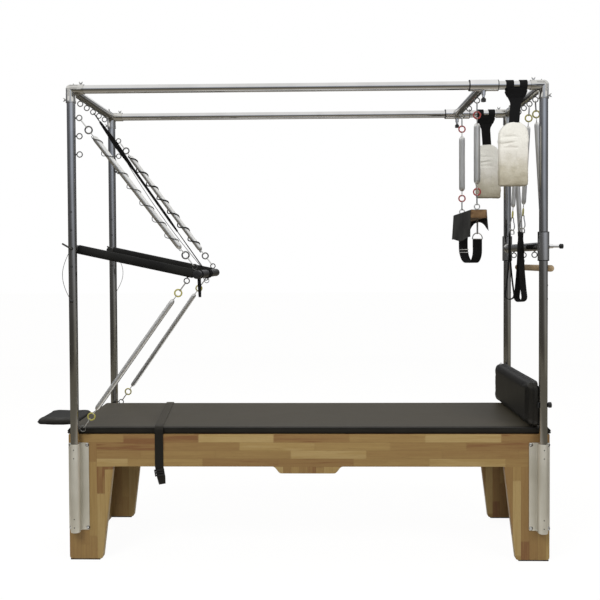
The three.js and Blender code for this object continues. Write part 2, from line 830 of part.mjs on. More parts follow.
function pushThroughBar() {
  const end_y = bar_arm_offset + bar_end_overhang
  const cross_end = at(bar_cross.x, end_y, bar_cross.z)
  const pieces = [rod(at(bar_cross.x, -end_y, bar_cross.z), cross_end, tube_radius)]
  const tools = []
  for (const [, side] of both_sides) {
    const pivot = onArm(side, 0)
    const hub_out = post_y - tube_radius - gap
    const hub_in = hub_out - bar_hub_length
    const hub_x = pivot.x
    pieces.push(rod(pivot, onArm(side, bar_arm_length), bar_arm_radius))
    pieces.push(rod(at(hub_x, side * hub_in, pivot.z), at(hub_x, side * hub_out, pivot.z), bar_hub_radius))
    pieces.push(eye(onArm(side, bar_arm_length), top_eye_way, tube_radius))
    pieces.push(eye(onArm(side, bar_arm_length - bar_low_eye_setback), arm_under, arm_cover_radius))
    pieces.push(rod(
      onArm(side, bar_arm_length - bar_low_eye_setback),
      along(onArm(side, bar_arm_length - bar_low_eye_setback), arm_under, arm_cover_radius),
      eye_wire,
      wire_sides,
    ))
    tools.push(rod(
      at(hub_x, side * (hub_in - cut_overrun), pivot.z),
      at(hub_x, side * (hub_out + cut_overrun), pivot.z),
      pivot_pin_radius + bore_gap,
      fitting_sides,
    ))
  }
  return cutFrom(joined(pieces), tools)
}

// Foam sleeve on each arm, slotted where the two eyes pass it
function armCover(side) {
  const start = onArm(side, arm_cover_hub_gap)
  const end = onArm(side, bar_arm_length - arm_cover_end_gap)
  const sleeve = rod(start, end, arm_cover_radius)
  const bore = rod(
    along(start, arm_way, -cut_overrun),
    along(end, arm_way, cut_overrun),
    bar_arm_radius + bore_gap,
  )
  const slot_half = eye_wire + strap_play
  const slot_radius = eye_radius + eye_wire + strap_play
  const top_centre = eyeCentre(onArm(side, bar_arm_length), top_eye_way, tube_radius)
  const top_slot = rod(
    along(top_centre, y_axis, -slot_half),
    along(top_centre, y_axis, slot_half),
    slot_radius,
    small_sides,
  )
  const low_root = onArm(side, bar_arm_length - bar_low_eye_setback)
  const low_slot = rod(
    low_root,
    along(low_root, arm_under, arm_cover_radius + cut_overrun),
    slot_half,
    small_sides,
  )
  const low_centre = eyeCentre(low_root, arm_under, arm_cover_radius)
  const low_ring_slot = rod(
    along(low_centre, y_axis, -slot_half),
    along(low_centre, y_axis, slot_half),
    slot_radius,
    small_sides,
  )
  return cutFrom(sleeve, [bore, top_slot, low_slot, low_ring_slot])
}

// Quick-release pivot pin with a side handle and a wire lanyard that clips on the post
function pivotPin(side) {
  const z = bar_pivot_height
  const outside = side * (post_y + tube_radius + gap)
  const inside = side * (post_y - tube_radius - gap - bar_hub_length)
  const collar_end = outside + side * pivot_collar_length
  const pin = rod(at(-post_x, inside, z), at(-post_x, collar_end, z), pivot_pin_radius, small_sides)
  const collar = rod(at(-post_x, outside, z), at(-post_x, collar_end, z), pivot_pin_collar, small_sides)
  const lean = THREE.MathUtils.degToRad(pivot_handle_lean_degrees)
  const handle_way = at(-Math.cos(lean), 0, Math.sin(lean))
  const handle_y = collar_end + side * (pivot_handle_radius - weld_bite)
  const handle_root = along(at(-post_x, handle_y, z), handle_way, -pivot_pin_radius)
  const handle_tip = along(handle_root, handle_way, pivot_handle_length)
  const handle = rod(handle_root, handle_tip, pivot_handle_radius, small_sides)
  const cord_start = at(-post_x, handle_y, z - pivot_handle_radius + weld_bite)
  const points = []
  for (let i = 0; i <= lanyard_steps; i++) {
    const share = i / lanyard_steps
    const bow = Math.sin(Math.PI * share) * lanyard_bow
    points.push(at(cord_start.x + side * bow, cord_start.y, cord_start.z - share * lanyard_drop))
  }
  const cord = solid(wire(points, lanyard_radius, wire_sides, y_axis))
  const clip_z = cord_start.z - lanyard_drop
  const clip_near = side * (post_y + tube_radius + gap)
  const clip_y = [clip_near, cord_start.y + side * lanyard_radius * 2].sort((a, b) => a - b)
  const clip = box(
    at(-post_x - lanyard_clip, clip_y[0], clip_z - lanyard_clip),
    at(-post_x + lanyard_clip, clip_y[1], clip_z + lanyard_clip),
  )
  return joined([pin, collar, handle, cord, clip])
}

place('push_through_bar', pushThroughBar(), 'dark_steel')
for (const [side_name, side] of both_sides) {
  place(`arm_cover_${side_name}`, armCover(side), 'rubber')
  place(`pivot_pin_${side_name}`, pivotPin(side), 'dark_steel')
}

// Springs: one coiled wire between two rings, with a hook from each ring to its eye.
// Built along local Z, from the top eye's centre to the bottom eye's centre.
function hookLoop(eye_z, ring_z, eye_end_radius, ring_end_radius) {
  const way = Math.sign(ring_z - eye_z)
  const points = []
  const steps = hook_steps
  const eye_bend = eye_end_radius / Math.cos(Math.PI / 2 / steps)
  for (let i = 0; i <= steps; i++) {
    const turn = Math.PI * i / steps
    points.push(at(0, -Math.cos(turn) * eye_bend, eye_z - way * Math.sin(turn) * eye_bend))
  }
  for (let i = 0; i <= steps; i++) {
    const turn = Math.PI * i / steps
    points.push(at(0, Math.cos(turn) * ring_end_radius, ring_z + way * Math.sin(turn) * ring_end_radius))
  }
  return solid(wire(points, hook_wire, wire_sides, x_axis, true))
}

function coilPoints(start, end, mean_radius, curls) {
  const steps = curls * curl_steps
  const ramp = curl_steps / 2
  const points = []
  for (let i = 0; i <= steps; i++) {
    const turn = Math.PI * 2 * i / curl_steps
    const ease = Math.min(1, Math.min(i, steps - i) / ramp)
    const radius = mean_radius * ease
    points.push(at(radius * Math.cos(turn), radius * Math.sin(turn), start + (end - start) * i / steps))
  }
  return points
}

function leastSelfGap(points, steps_per_turn, thickness) {
  let least = Infinity
  points.forEach((point, i) => {
    for (let j = i + Math.floor(steps_per_turn * 3 / 4); j < points.length; j++) {
      least = Math.min(least, point.distanceTo(points[j]) - thickness)
    }
  })
  return least
}

function localFrame(from, to) {
  const forward = to.clone().sub(from).normalize()
  const side = y_axis.clone().addScaledVector(forward, -y_axis.dot(forward)).normalize()
  const third = side.clone().cross(forward)
  return new THREE.Matrix4().makeBasis(third, side, forward).setPosition(from)
}

function spring(name, from, to, width, curls, low_reach = hook_reach, low_bend = hook_bend) {
  const length = from.distanceTo(to)
  const top_ring = hook_reach
  const bottom_ring = length - low_reach
  const start = top_ring + spring_neck
  const end = bottom_ring - spring_neck
  const mean_radius = width / 2 - coil_wire
  const coil = coilPoints(start, end, mean_radius, curls)
  const path = [at(0, 0, top_ring + ring_radius), at(0, 0, start - coil_wire * 2), ...coil]
  path.push(at(0, 0, end + coil_wire * 2), at(0, 0, bottom_ring - ring_radius))
  const least = leastSelfGap(coil, curl_steps, coil_wire * 2)
  console.log(`${name}: ${curls} curls, least gap between turns ${least.toFixed(2)} mm`)
  const top_eye_z = eye_radius
  const low_eye_z = length - eye_radius
  const low_bend_z = low_eye_z - low_bend + hook_bend
  const ring_bend = ring_wire + hook_wire - weld_bite
  const pieces = [
    solid(wire(path, coil_wire, coil_sides, x_axis)),
    ring(at(0, 0, top_ring), ring_radius, ring_wire),
    ring(at(0, 0, bottom_ring), ring_radius, ring_wire),
    hookLoop(top_eye_z, top_ring - ring_radius, hook_bend, ring_bend),
    hookLoop(low_bend_z, bottom_ring + ring_radius, low_bend, ring_bend),
  ]
  const geometry = meshOf(joined(pieces))
  geometry.applyMatrix4(localFrame(from, to))
  place(name, geometry, 'spring_steel')
}

// Thin cord that is tied at both necks of an upper spring, winds round it and would catch it if it broke
function safetyCord(name, from, to) {
  const length = from.distanceTo(to)
  const start = hook_reach + spring_neck - safety_cord_tie
  const end = length - start
  const tied = coil_wire + safety_cord_radius + gap
  const wound = (push_spring_width / 2 + safety_cord_radius + hook_play) / Math.cos(Math.PI / winding_steps)
  const steps = safety_cord_turns * winding_steps
  const points = []
  for (let i = 0; i <= steps; i++) {
    const turn = -Math.PI * 2 * i / winding_steps
    const radius = tied + (wound - tied) * Math.min(1, Math.min(i, steps - i) / winding_ramp_steps)
    points.push(at(radius * Math.cos(turn), radius * Math.sin(turn), start + (end - start) * i / steps))
  }
  const least = leastSelfGap(points, winding_steps, safety_cord_radius * 2)
  console.log(`${name}: ${safety_cord_turns} turns, least gap between turns ${least.toFixed(2)} mm`)
  const geometry = wire(points, safety_cord_radius, wire_sides, x_axis)
  geometry.applyMatrix4(localFrame(from, to))
  place(name, geometry, 'webbing')
}

for (const [side_name, side] of both_sides) {
  const post_axis = at(-post_x, side * post_y, post_eye_top)
  const upper_from = eyeCentre(post_axis, x_axis, tube_radius)
  const upper_to = eyeCentre(onArm(side, bar_arm_length), top_eye_way, tube_radius)
  spring(`push_spring_upper_${side_name}`, upper_from, upper_to, push_spring_width, 5)
  safetyCord(`safety_cord_${side_name}`, upper_from, upper_to)
  const low_root = onArm(side, bar_arm_length - bar_low_eye_setback)
  const lower_from = eyeCentre(low_root, arm_under, arm_cover_radius)
  const lower_to = eyeCentre(at(-post_x, side * post_y, post_eye_low), x_axis, tube_radius)
  spring(`push_spring_lower_${side_name}`, lower_from, lower_to, lower_spring_width, 5)
}

// Safety strap from the left crossbar's middle eye to a loop round the push-through bar
function safetyStrap() {
  const eye_centre = eyeCentre(at(-post_x, 0, canopy_height), down, tube_radius)
  const bar = at(bar_cross.x, 0, bar_cross.z)
  const length = eye_centre.distanceTo(bar)
  const loop_inner = tube_radius + strap_play
  const loop_outer = loop_inner + safety_strap_wall
  const strap_start = hook_reach - ring_wire
  const half = safety_strap_width / 2
  const half_wall = safety_strap_wall / 2
  const strap = box(at(-half_wall, -half, strap_start), at(half_wall, half, length - loop_inner - weld_bite))
  const loop = rod(at(0, -half, length), at(0, half, length), loop_outer)
  const bore = rod(at(0, -half - cut_overrun, length), at(0, half + cut_overrun, length), loop_inner)
  const link = hookLoop(eye_radius, strap_start, hook_bend, hook_bend)
  const geometry = meshOf(joined([strap, link]).add(loop.subtract(bore)))
  return geometry.applyMatrix4(localFrame(eye_centre, bar))
}

place('safety_strap', safetyStrap(), 'webbing')

// Trapeze: a board with a hide cover and a sling, hung from the slider by two springs
function trapezeEyeRoot(side) {
  return at(slider_x, side * slider_eye_pitch, board_top - eye_wire)
}

function trapezeBoard() {
  const half = board_width / 2
  const board_low = board_top - board_thickness
  const outline = roundedRectangle(
    slider_x - half, slider_x + half, board_low, board_top, board_edge_round, board_edge_round,
  )
  const board = boardAcrossY(outline, -board_length / 2, board_length / 2, board_curve_steps)
  const eyes = both_sides.map(([, side]) => eye(trapezeEyeRoot(side), z_axis, eye_wire))
  return joined([board, ...eyes])
}

function trapezeCover() {
  const half_y = board_length / 2 - cover_margin
  const inner_x = board_width / 2 + bore_gap
  const top = board_top + bore_gap
  const low = top - cover_flap
  const flap = new THREE.Shape()
  flap.moveTo(-half_y, top)
  flap.lineTo(-half_y - cover_margin, low)
  flap.lineTo(-half_y / 2, low + cover_flap_rise)
  flap.lineTo(half_y / 2, low + cover_flap_rise)
  flap.lineTo(half_y + cover_margin, low)
  flap.lineTo(half_y, top)
  flap.closePath()
  const left = boardAcrossX(flap, slider_x - inner_x - cover_wall, slider_x - inner_x)
  const right = boardAcrossX(flap, slider_x + inner_x, slider_x + inner_x + cover_wall)
  const lid = box(
    at(slider_x - inner_x - cover_wall, -half_y, top),
    at(slider_x + inner_x + cover_wall, half_y, top + cover_wall),
  )
  const holes = both_sides.map(([, side]) => {
    const foot = trapezeEyeRoot(side)
    return rod(foot, along(foot, z_axis, cover_wall * 3), cover_hole_radius, small_sides)
  })
  const ring_slots = both_sides.map(([, side]) => {
    const centre = eyeCentre(trapezeEyeRoot(side), z_axis, eye_wire)
    const half = eye_wire + strap_play
    const radius = eye_radius + eye_wire + strap_play
    return rod(along(centre, y_axis, -half), along(centre, y_axis, half), radius, small_sides)
  })
  return cutFrom(joined([left, right, lid]), [...holes, ...ring_slots])
}

// Webbing band: its upper run is screwed to the underside of the board
function trapezeSling() {
  const top = board_top - board_thickness - gap
  const half = sling_span / 2
  const band = roundedRectangle(-half, half, sling_low, top, sling_round, sling_top_round)
  band.holes.push(roundedRectangle(
    -half + sling_wall, half - sling_wall, sling_low + sling_wall, top - sling_wall,
    sling_round - sling_wall, sling_top_round - sling_wall,
  ))
  return boardAcrossX(band, slider_x - sling_width / 2, slider_x + sling_width / 2, band_curve_steps)
}

place('trapeze_board', trapezeBoard(), 'board_wood')
place('trapeze_cover', trapezeCover(), 'hide')
place('trapeze_sling', trapezeSling(), 'webbing')
for (const [side_name, side] of both_sides) {
  const from = eyeCentre(at(slider_x, side * slider_eye_pitch, canopy_height), down, tube_radius)
  const to = eyeCentre(trapezeEyeRoot(side), z_axis, eye_wire)
  spring(`trapeze_spring_${side_name}`, from, to, trapeze_spring_width, 4)
}

// Fleece straps: a webbing yoke that loops over the top rail, with a thick fleece below
function fleeceStrap(side) {
  const y = side * post_y
  const rail_gap = tube_radius + strap_play
  const loop_outer = rail_gap + yoke_wall
  const leg_middle = (yoke_width - yoke_leg_width) / 2
  const pieces = []
  const tools = []
  for (const x of [fleece_strap_x - leg_middle, fleece_strap_x + leg_middle]) {
    const half = yoke_leg_width / 2
    const loop_start = at(x - half, y, canopy_height)
    pieces.push(rod(loop_start, along(loop_start, x_axis, yoke_leg_width), loop_outer, fitting_sides))
    tools.push(rod(
      at(x - half - cut_overrun, y, canopy_height),
      at(x + half + cut_overrun, y, canopy_height),
      rail_gap,
    ))
  }
  const plate_top = canopy_height - rail_gap - yoke_wall / 2
  const half_top = yoke_width / 2
  const half_neck = yoke_neck_width / 2
  const notch = half_top - yoke_leg_width
  const outline = new THREE.Shape()
  outline.moveTo(fleece_strap_x - half_top, plate_top)
  outline.lineTo(fleece_strap_x - half_neck, yoke_taper_low)
  outline.lineTo(fleece_strap_x - half_neck, fleece_top - yoke_wall * 3)
  outline.lineTo(fleece_strap_x + half_neck, fleece_top - yoke_wall * 3)
  outline.lineTo(fleece_strap_x + half_neck, yoke_taper_low)
  outline.lineTo(fleece_strap_x + half_top, plate_top)
  outline.lineTo(fleece_strap_x + notch, plate_top)
  outline.lineTo(fleece_strap_x, plate_top - notch * 2)
  outline.lineTo(fleece_strap_x - notch, plate_top)
  outline.closePath()
  const half_plate = yoke_plate_wall / 2
  pieces.push(boardAcrossY(outline, y - half_plate, y + half_plate))
  const yoke = cutFrom(joined(pieces), tools)
  const pad = cushion(fleece_height / 2, fleece_width / 2, fleece_top_round, fleece_top_round, 0, [
    [fleece_depth / 3, -fleece_depth / 2],
    [fleece_depth / 10, -fleece_depth / 4],
    [0, 0],
    [fleece_depth / 10, fleece_depth / 4],
    [fleece_depth / 3, fleece_depth / 2],
  ], fleece_corner_steps)
  squareFleece(pad)
  pad.rotateY(-Math.PI / 2).rotateZ(-Math.PI / 2)
  pad.translate(fleece_strap_x, y, fleece_top - fleece_height / 2)
  return yoke.add(solid(pad))
}

// The fleece hangs squarer at its foot than at its head
function squareFleece(pad) {
  const places = pad.getAttribute('position')
  for (let i = 0; i < places.count; i++) {
    const u = places.getX(i)
    const v = places.getY(i)
    const low_share = Math.max(0, -u / (fleece_height / 2))
    const spread = 1 + fleece_foot_share * low_share * low_share
    places.setX(i, Math.max(u * spread, -fleece_height / 2))
    places.setY(i, THREE.MathUtils.clamp(v * spread, -fleece_width / 2, fleece_width / 2))
  }
}

for (const [side_name, side] of both_sides) {
  place(`fleece_strap_${side_name}`, fleeceStrap(side), 'fleece')
}

// Foot loops: a wire triangle and a cotton loop below it, on a spring that leans in from the canopy
function footLoop(side, faces_end) {
  const y = side * crossbar_eye_pitch
  const ring_centre = at(post_x - foot_strap_lean, y, foot_ring_height)
  const outline = new THREE.Shape()
  const top_half = foot_strap_wall
  const r = foot_strap_round
  const low = foot_strap_low + r
  outline.moveTo(-top_half, foot_strap_top)
  outline.lineTo(-top_half, foot_strap_hole_top)
  outline.quadraticCurveTo(-r, (foot_strap_hole_top + low) / 2, -r, low)
  outline.absarc(0, low, r, Math.PI, Math.PI * 2)
  outline.quadraticCurveTo(r, (foot_strap_hole_top + low) / 2, top_half, foot_strap_hole_top)
  outline.lineTo(top_half, foot_strap_top)
  outline.closePath()
  const inner = r - foot_strap_wall
  const hole = new THREE.Path()
  const hole_peak = foot_strap_hole_top - foot_strap_wall * 2
  hole.moveTo(0, hole_peak)
  hole.quadraticCurveTo(inner, (foot_strap_hole_top + low) / 2, inner, low)
  hole.absarc(0, low, inner, 0, -Math.PI, true)
  hole.quadraticCurveTo(-inner, (foot_strap_hole_top + low) / 2, 0, hole_peak)
  outline.holes.push(hole)
  const half = foot_strap_width / 2
  const board = faces_end ? boardAcrossX : boardAcrossY
  const loop = board(outline, -half, half, loop_curve_steps)
  const loop_x = post_x - tube_radius - strap_play - (faces_end ? half : r)
  return loop.translate([loop_x, y, 0]).add(ring(ring_centre, eye_radius, eye_wire))
}

for (const [side_name, side] of both_sides) {
  const from = eyeCentre(at(post_x, side * crossbar_eye_pitch, canopy_height), down, tube_radius)
  const to = at(post_x - foot_strap_lean, side * crossbar_eye_pitch, foot_ring_height)
  spring(`foot_spring_${side_name}`, from, to, strap_spring_width, 4, carabiner_reach, carabiner_half_width)
  place(`foot_loop_${side_name}`, footLoop(side, side < 0), 'webbing')
}

// Roll-down bar: a dowel on two springs that lean over the outside of the end slider
const roll_axis = at(post_x + roll_bar_lean, 0, roll_bar_height)
const roll_eye = eyeCentre(at(post_x, crossbar_eye_pitch * 2, canopy_height), down, tube_radius)
const roll_way = at(roll_eye.x - roll_axis.x, 0, roll_eye.z - roll_axis.z).normalize()
const dowel = rod(
  at(roll_axis.x, -roll_bar_length / 2, roll_axis.z),
  at(roll_axis.x, roll_bar_length / 2, roll_axis.z),
  roll_bar_radius,
)
const roll_eyes = both_sides.map(([, side]) => {
  return eye(at(roll_axis.x, side * crossbar_eye_pitch * 2, roll_axis.z), roll_way, roll_bar_radius)
})
place('roll_down_bar', joined([dowel, ...roll_eyes]), 'dowel_wood')
for (const [side_name, side] of both_sides) {
  const y = side * crossbar_eye_pitch * 2
  const from = eyeCentre(at(post_x, y, canopy_height), down, tube_radius)
  const to = eyeCentre(at(roll_axis.x, y, roll_axis.z), roll_way, roll_bar_radius)
  spring(`roll_spring_${side_name}`, from, to, roll_spring_width, 5)
}

// Belt round the bench and mattress, with its buckle and tail below the front rail
function benchBelt() {
  const inner_y = wood_face + strap_play
  const inner_top = mattress_top + gap
  const inner_low = rail_low - gap
  const band = roundedRectangle(
    -inner_y - belt_wall, inner_y + belt_wall, inner_low - belt_wall, inner_top + belt_wall,
    belt_wall * 2, belt_wall * 4,
  )
  const bend = belt_wall * 3
  const hole = new THREE.Path()
  hole.moveTo(-inner_y, inner_low)
  hole.lineTo(inner_y, inner_low)
  hole.absarc(inner_y - bend, inner_top - bend, bend, 0, Math.PI / 2)
  hole.absarc(-inner_y + bend, inner_top - bend, bend, Math.PI / 2, Math.PI)
  hole.closePath()
  band.holes.push(hole)
  const loop = boardAcrossX(band, belt_x - belt_width / 2, belt_x + belt_width / 2, band_curve_steps)
  const tail = box(
    at(belt_x - belt_width / 2, -inner_y - belt_wall, inner_low - belt_tail),
    at(belt_x + belt_width / 2, -inner_y, inner_low + belt_wall),
  )
  const buckle = box(
    at(belt_x - belt_width * 3 / 5, -inner_y - belt_buckle_wall, inner_low - belt_buckle_height * 4 / 3),
    at(belt_x + belt_width * 3 / 5, -inner_y, inner_low - belt_buckle_height / 3),
  )
  const geometry = meshOf(joined([loop, tail, buckle]))
  const places = geometry.getAttribute('position')
  for (let i = 0; i < places.count; i++) {
    const share = (places.getY(i) + inner_y) / (inner_y * 2)
    places.setX(i, places.getX(i) - share * belt_skew)
  }
  return geometry
}

place('bench_belt', benchBelt(), 'webbing')

// The origin is on the floor, under the middle of the whole table
const bounds = new THREE.Box3().setFromObject(table)
const middle = bounds.getCenter(new THREE.Vector3())
table.position.set(-middle.x, -middle.y, -bounds.min.z)

export default table
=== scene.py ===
# %% [markdown]
# A pilates trapeze table is a padded bench under a canopy of polished steel tubes. Springs, straps
# and bars hang from the canopy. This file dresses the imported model: it loads the solids as a fixed
# frame, and then each piece of the real table gets its fine shape and its finish round them.
# Shapes are drawn in millimetres from the middle of the bench, as a maker would measure them, and
# turned into metres at the end of each piece.

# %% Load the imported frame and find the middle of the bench
import json
import math

import bmesh
import bpy
from mathutils import Matrix, Vector, noise


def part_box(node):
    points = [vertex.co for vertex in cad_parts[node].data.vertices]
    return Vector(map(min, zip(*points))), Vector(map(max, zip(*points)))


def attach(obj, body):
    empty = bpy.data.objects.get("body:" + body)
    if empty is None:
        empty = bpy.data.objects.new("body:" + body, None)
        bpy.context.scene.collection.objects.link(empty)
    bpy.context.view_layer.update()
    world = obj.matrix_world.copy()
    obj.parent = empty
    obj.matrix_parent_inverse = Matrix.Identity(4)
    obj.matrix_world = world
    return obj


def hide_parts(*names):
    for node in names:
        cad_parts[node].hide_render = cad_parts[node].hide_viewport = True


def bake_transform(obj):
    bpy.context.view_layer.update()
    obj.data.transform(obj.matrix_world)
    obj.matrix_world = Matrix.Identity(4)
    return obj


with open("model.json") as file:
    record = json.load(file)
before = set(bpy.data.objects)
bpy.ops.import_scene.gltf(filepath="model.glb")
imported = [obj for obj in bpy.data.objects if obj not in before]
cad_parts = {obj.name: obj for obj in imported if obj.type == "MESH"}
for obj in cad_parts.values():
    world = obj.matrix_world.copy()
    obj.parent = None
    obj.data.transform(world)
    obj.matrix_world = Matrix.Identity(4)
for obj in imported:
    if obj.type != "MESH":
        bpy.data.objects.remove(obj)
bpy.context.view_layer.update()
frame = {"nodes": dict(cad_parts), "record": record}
home = {node: body for body, nodes in frame["record"]["behaviour"]["bodies"].items() for node in nodes}
panel_low, panel_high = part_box("side_frame_front")
bench_middle = (panel_low.x + panel_high.x) / 2
to_metres = Matrix.Translation((bench_middle, 0, 0)) @ Matrix.Scale(0.001, 4)
sides = (("front", -1), ("rear", 1))
ends = (("left", -1), ("right", 1))
print("bench middle at x", round(bench_middle, 5), "nodes", len(home))

# %% [markdown]
# The photograph was taken from the front, a little above head height, with a normal lens. The place
# of the lens, its turn and its reach were found from the corners of the bench and canopy. A camera
# matrix can be built from three directions: right, up and backwards.

# %% Camera
focal_pixels = 812.9
frame_pixels = 600
centre_pixels = (302.9, 279.3)
yaw, pitch, roll = (math.radians(angle) for angle in (-1.340, 1.361, -0.285))
camera_data = bpy.data.cameras.new("studio_camera")
camera_data.sensor_width = 36
camera_data.lens = 36 * focal_pixels / frame_pixels
camera_data.shift_x = (frame_pixels / 2 - centre_pixels[0]) / frame_pixels
camera_data.shift_y = (centre_pixels[1] - frame_pixels / 2) / frame_pixels
camera_data.clip_end = 100
camera = bpy.data.objects.new("studio_camera", camera_data)
ahead = Vector((math.sin(yaw) * math.cos(pitch), math.cos(yaw) * math.cos(pitch), -math.sin(pitch)))
level = Vector((math.cos(yaw), -math.sin(yaw), 0))
upright = level.cross(ahead)
right = math.cos(roll) * level + math.sin(roll) * upright
up = math.cos(roll) * upright - math.sin(roll) * level
turn = Matrix((right, up, -ahead)).transposed().to_4x4()
camera.matrix_world = Matrix.Translation((bench_middle + 0.068, -3.960, 1.357)) @ turn
bpy.context.scene.collection.objects.link(camera)
bpy.context.scene.camera = camera
print("lens", round(camera_data.lens, 2), "mm")

# %% [markdown]
# Every finish is made of nodes that hang on one shader. Two short helpers keep the trees readable:
# one adds a node and plugs its inputs, the other starts a material. An input that is given a socket
# is linked, and any other value is written on the socket itself.

# %% Node helpers


def add_node(tree, kind, inputs=None, **settings):
    made = tree.nodes.new(kind)
    for setting, value in settings.items():
        setattr(made, setting, value)
    for key, value in (inputs or {}).items():
        if isinstance(value, bpy.types.NodeSocket):
            tree.links.new(value, made.inputs[key])
        else:
            made.inputs[key].default_value = value
    return made


def start_finish(name, colour, roughness, metallic=0.0, **sockets):
    made = bpy.data.materials.new(name)
    made.use_nodes = True
    shader = made.node_tree.nodes["Principled BSDF"]
    shader.inputs["Base Color"].default_value = (*colour, 1)
    shader.inputs["Roughness"].default_value = roughness
    shader.inputs["Metallic"].default_value = metallic
    for key, value in sockets.items():
        shader.inputs[key.replace("_", " ")].default_value = value
    return made, made.node_tree, shader


def seen_by_camera(tree):
    path = add_node(tree, "ShaderNodeLightPath")
    first = add_node(tree, "ShaderNodeMath", {
        0: path.outputs["Is Camera Ray"], 1: path.outputs["Is Glossy Ray"]}, operation="MAXIMUM")
    both = add_node(tree, "ShaderNodeMath", {
        0: first.outputs[0], 1: path.outputs["Is Transmission Ray"]}, operation="MAXIMUM")
    return both.outputs[0]


def number(tree, operation, *values):
    made = add_node(tree, "ShaderNodeMath", dict(enumerate(values)), operation=operation)
    return made.outputs[0]


def shift_range(tree, value, low, high):
    made = add_node(tree, "ShaderNodeMapRange", {"Value": value, "To Min": low, "To Max": high})
    return made.outputs["Result"]


def tints(tree, value, stops):
    ramp = add_node(tree, "ShaderNodeValToRGB", {"Fac": value})
    for index, (place, colour) in enumerate(stops):
        stop = ramp.color_ramp.elements[index] if index < 2 else ramp.color_ramp.elements.new(place)
        stop.position = place
        stop.color = (*colour, 1)
    return ramp.outputs["Color"]


def speckle(tree, scale, stretch=(1, 1, 1), detail=3.0):
    coords = add_node(tree, "ShaderNodeTexCoord")
    mapping = add_node(tree, "ShaderNodeMapping", {"Vector": coords.outputs["Object"], "Scale": stretch})
    found = add_node(tree, "ShaderNodeTexNoise", {
        "Vector": mapping.outputs[0], "Scale": scale, "Detail": detail})
    return found.outputs[0]


def raise_surface(tree, shader, height, distance, strength=1.0):
    bump = add_node(tree, "ShaderNodeBump", {
        "Height": height, "Distance": distance, "Strength": strength})
    tree.links.new(bump.outputs[0], shader.inputs["Normal"])


# %% [markdown]
# The tubes are polished stainless steel and the sockets are brushed aluminium. Metal takes its looks from
# what it mirrors, so the shader only needs a grey, faint clouds of colour, and polishing marks that roughen
# it along the tube. The posts, rails, crossbars and slider sleeves are one steel, but each has its own copy
# with a different grey, lightest on the sleeves and rails: painted light and shade for how lit each part
# looks. The same recipe, with other numbers, gives spring wire, chrome rings, the pewter push-through bar and
# the pull pins.

# %% Metals


def metal(name, dark, light, smooth, rough, mark_scale, stretch=(1, 1, 1), mark_depth=0.000002, bare=1.0):
    made, tree, shader = start_finish(name, light, smooth, bare)
    clouds = speckle(tree, 9.0, detail=2.0)
    tree.links.new(tints(tree, clouds, [(0.35, dark), (0.65, light)]), shader.inputs["Base Color"])
    marks = speckle(tree, mark_scale, stretch)
    tree.links.new(shift_range(tree, marks, smooth, rough), shader.inputs["Roughness"])
    raise_surface(tree, shader, marks, mark_depth, 0.5)
    return made


polish_scale, polish_depth = 220.0, 0.0000006
# Four copies of one polished steel, with greys set for how lit each part looks: painted light and shade.
posts_steel_painted_tone = metal(
    "polished_steel_painted_tone_posts", (0.55, 0.545, 0.53), (0.61, 0.605, 0.59), 0.08, 0.12,
    polish_scale, (1, 1, 0.06), polish_depth)
rails_steel_painted_lighter = metal(
    "polished_steel_painted_lighter_rails", (0.62, 0.615, 0.605), (0.68, 0.675, 0.665), 0.08, 0.12,
    polish_scale, (0.06, 1, 1), polish_depth)
crossbars_steel_painted_tone = metal(
    "polished_steel_painted_tone_crossbars", (0.54, 0.53, 0.50), (0.61, 0.60, 0.57), 0.10, 0.14,
    polish_scale, (1, 0.06, 1), polish_depth)
sleeves_steel_painted_lighter = metal(
    "polished_steel_painted_lighter_sleeves", (0.74, 0.735, 0.73), (0.80, 0.795, 0.79), 0.10, 0.14,
    polish_scale, (1, 1, 1), polish_depth)
socket_metal = metal(
    "satin_aluminium", (0.53, 0.505, 0.425), (0.60, 0.575, 0.495), 0.42, 0.56, 300.0, (1, 1, 0.03), 0.00001,
    bare=0.55)
spring_wire = metal("spring_wire", (0.76, 0.755, 0.73), (0.84, 0.835, 0.81), 0.36, 0.46, 500.0)
bright_steel = metal("bright_steel", (0.62, 0.62, 0.60), (0.72, 0.72, 0.70), 0.16, 0.26, 400.0)
link_steel = metal("link_steel", (0.20, 0.20, 0.19), (0.29, 0.29, 0.28), 0.18, 0.30, 400.0)
pewter = metal("dark_pewter", (0.10, 0.098, 0.092), (0.15, 0.147, 0.138), 0.28, 0.42, 260.0, (1, 0.1, 1))
pin_steel = metal("pin_steel", (0.10, 0.098, 0.09), (0.16, 0.157, 0.15), 0.28, 0.40, 400.0)
print("metals made:", len(bpy.data.materials))

# %% [markdown]
# The bench is made of glued staves: strips of rubberwood about 37 mm wide and a hand or two long,
# finger-jointed end to end. They lie level along the rails and stand upright in the legs; on the left
# leg they reach up to the top row. A node tree can lay them out by arithmetic: whole numbers of stave
# widths give the row, whole numbers of stave lengths give the block, and white noise turns each block's
# numbers into its own tint and grain.

# %% Glued stave wood
stave_width = 0.03675
stave_length = 0.34
rail_low, rail_high = 0.426, 0.573
finger_pitch, finger_slope = 0.0022, 3.2
wood_tints = [
    (0.0, (0.170, 0.082, 0.032)), (0.12, (0.214, 0.124, 0.046)), (0.5, (0.248, 0.158, 0.058)),
    (0.8, (0.290, 0.196, 0.073)), (1.0, (0.335, 0.238, 0.100)),
]


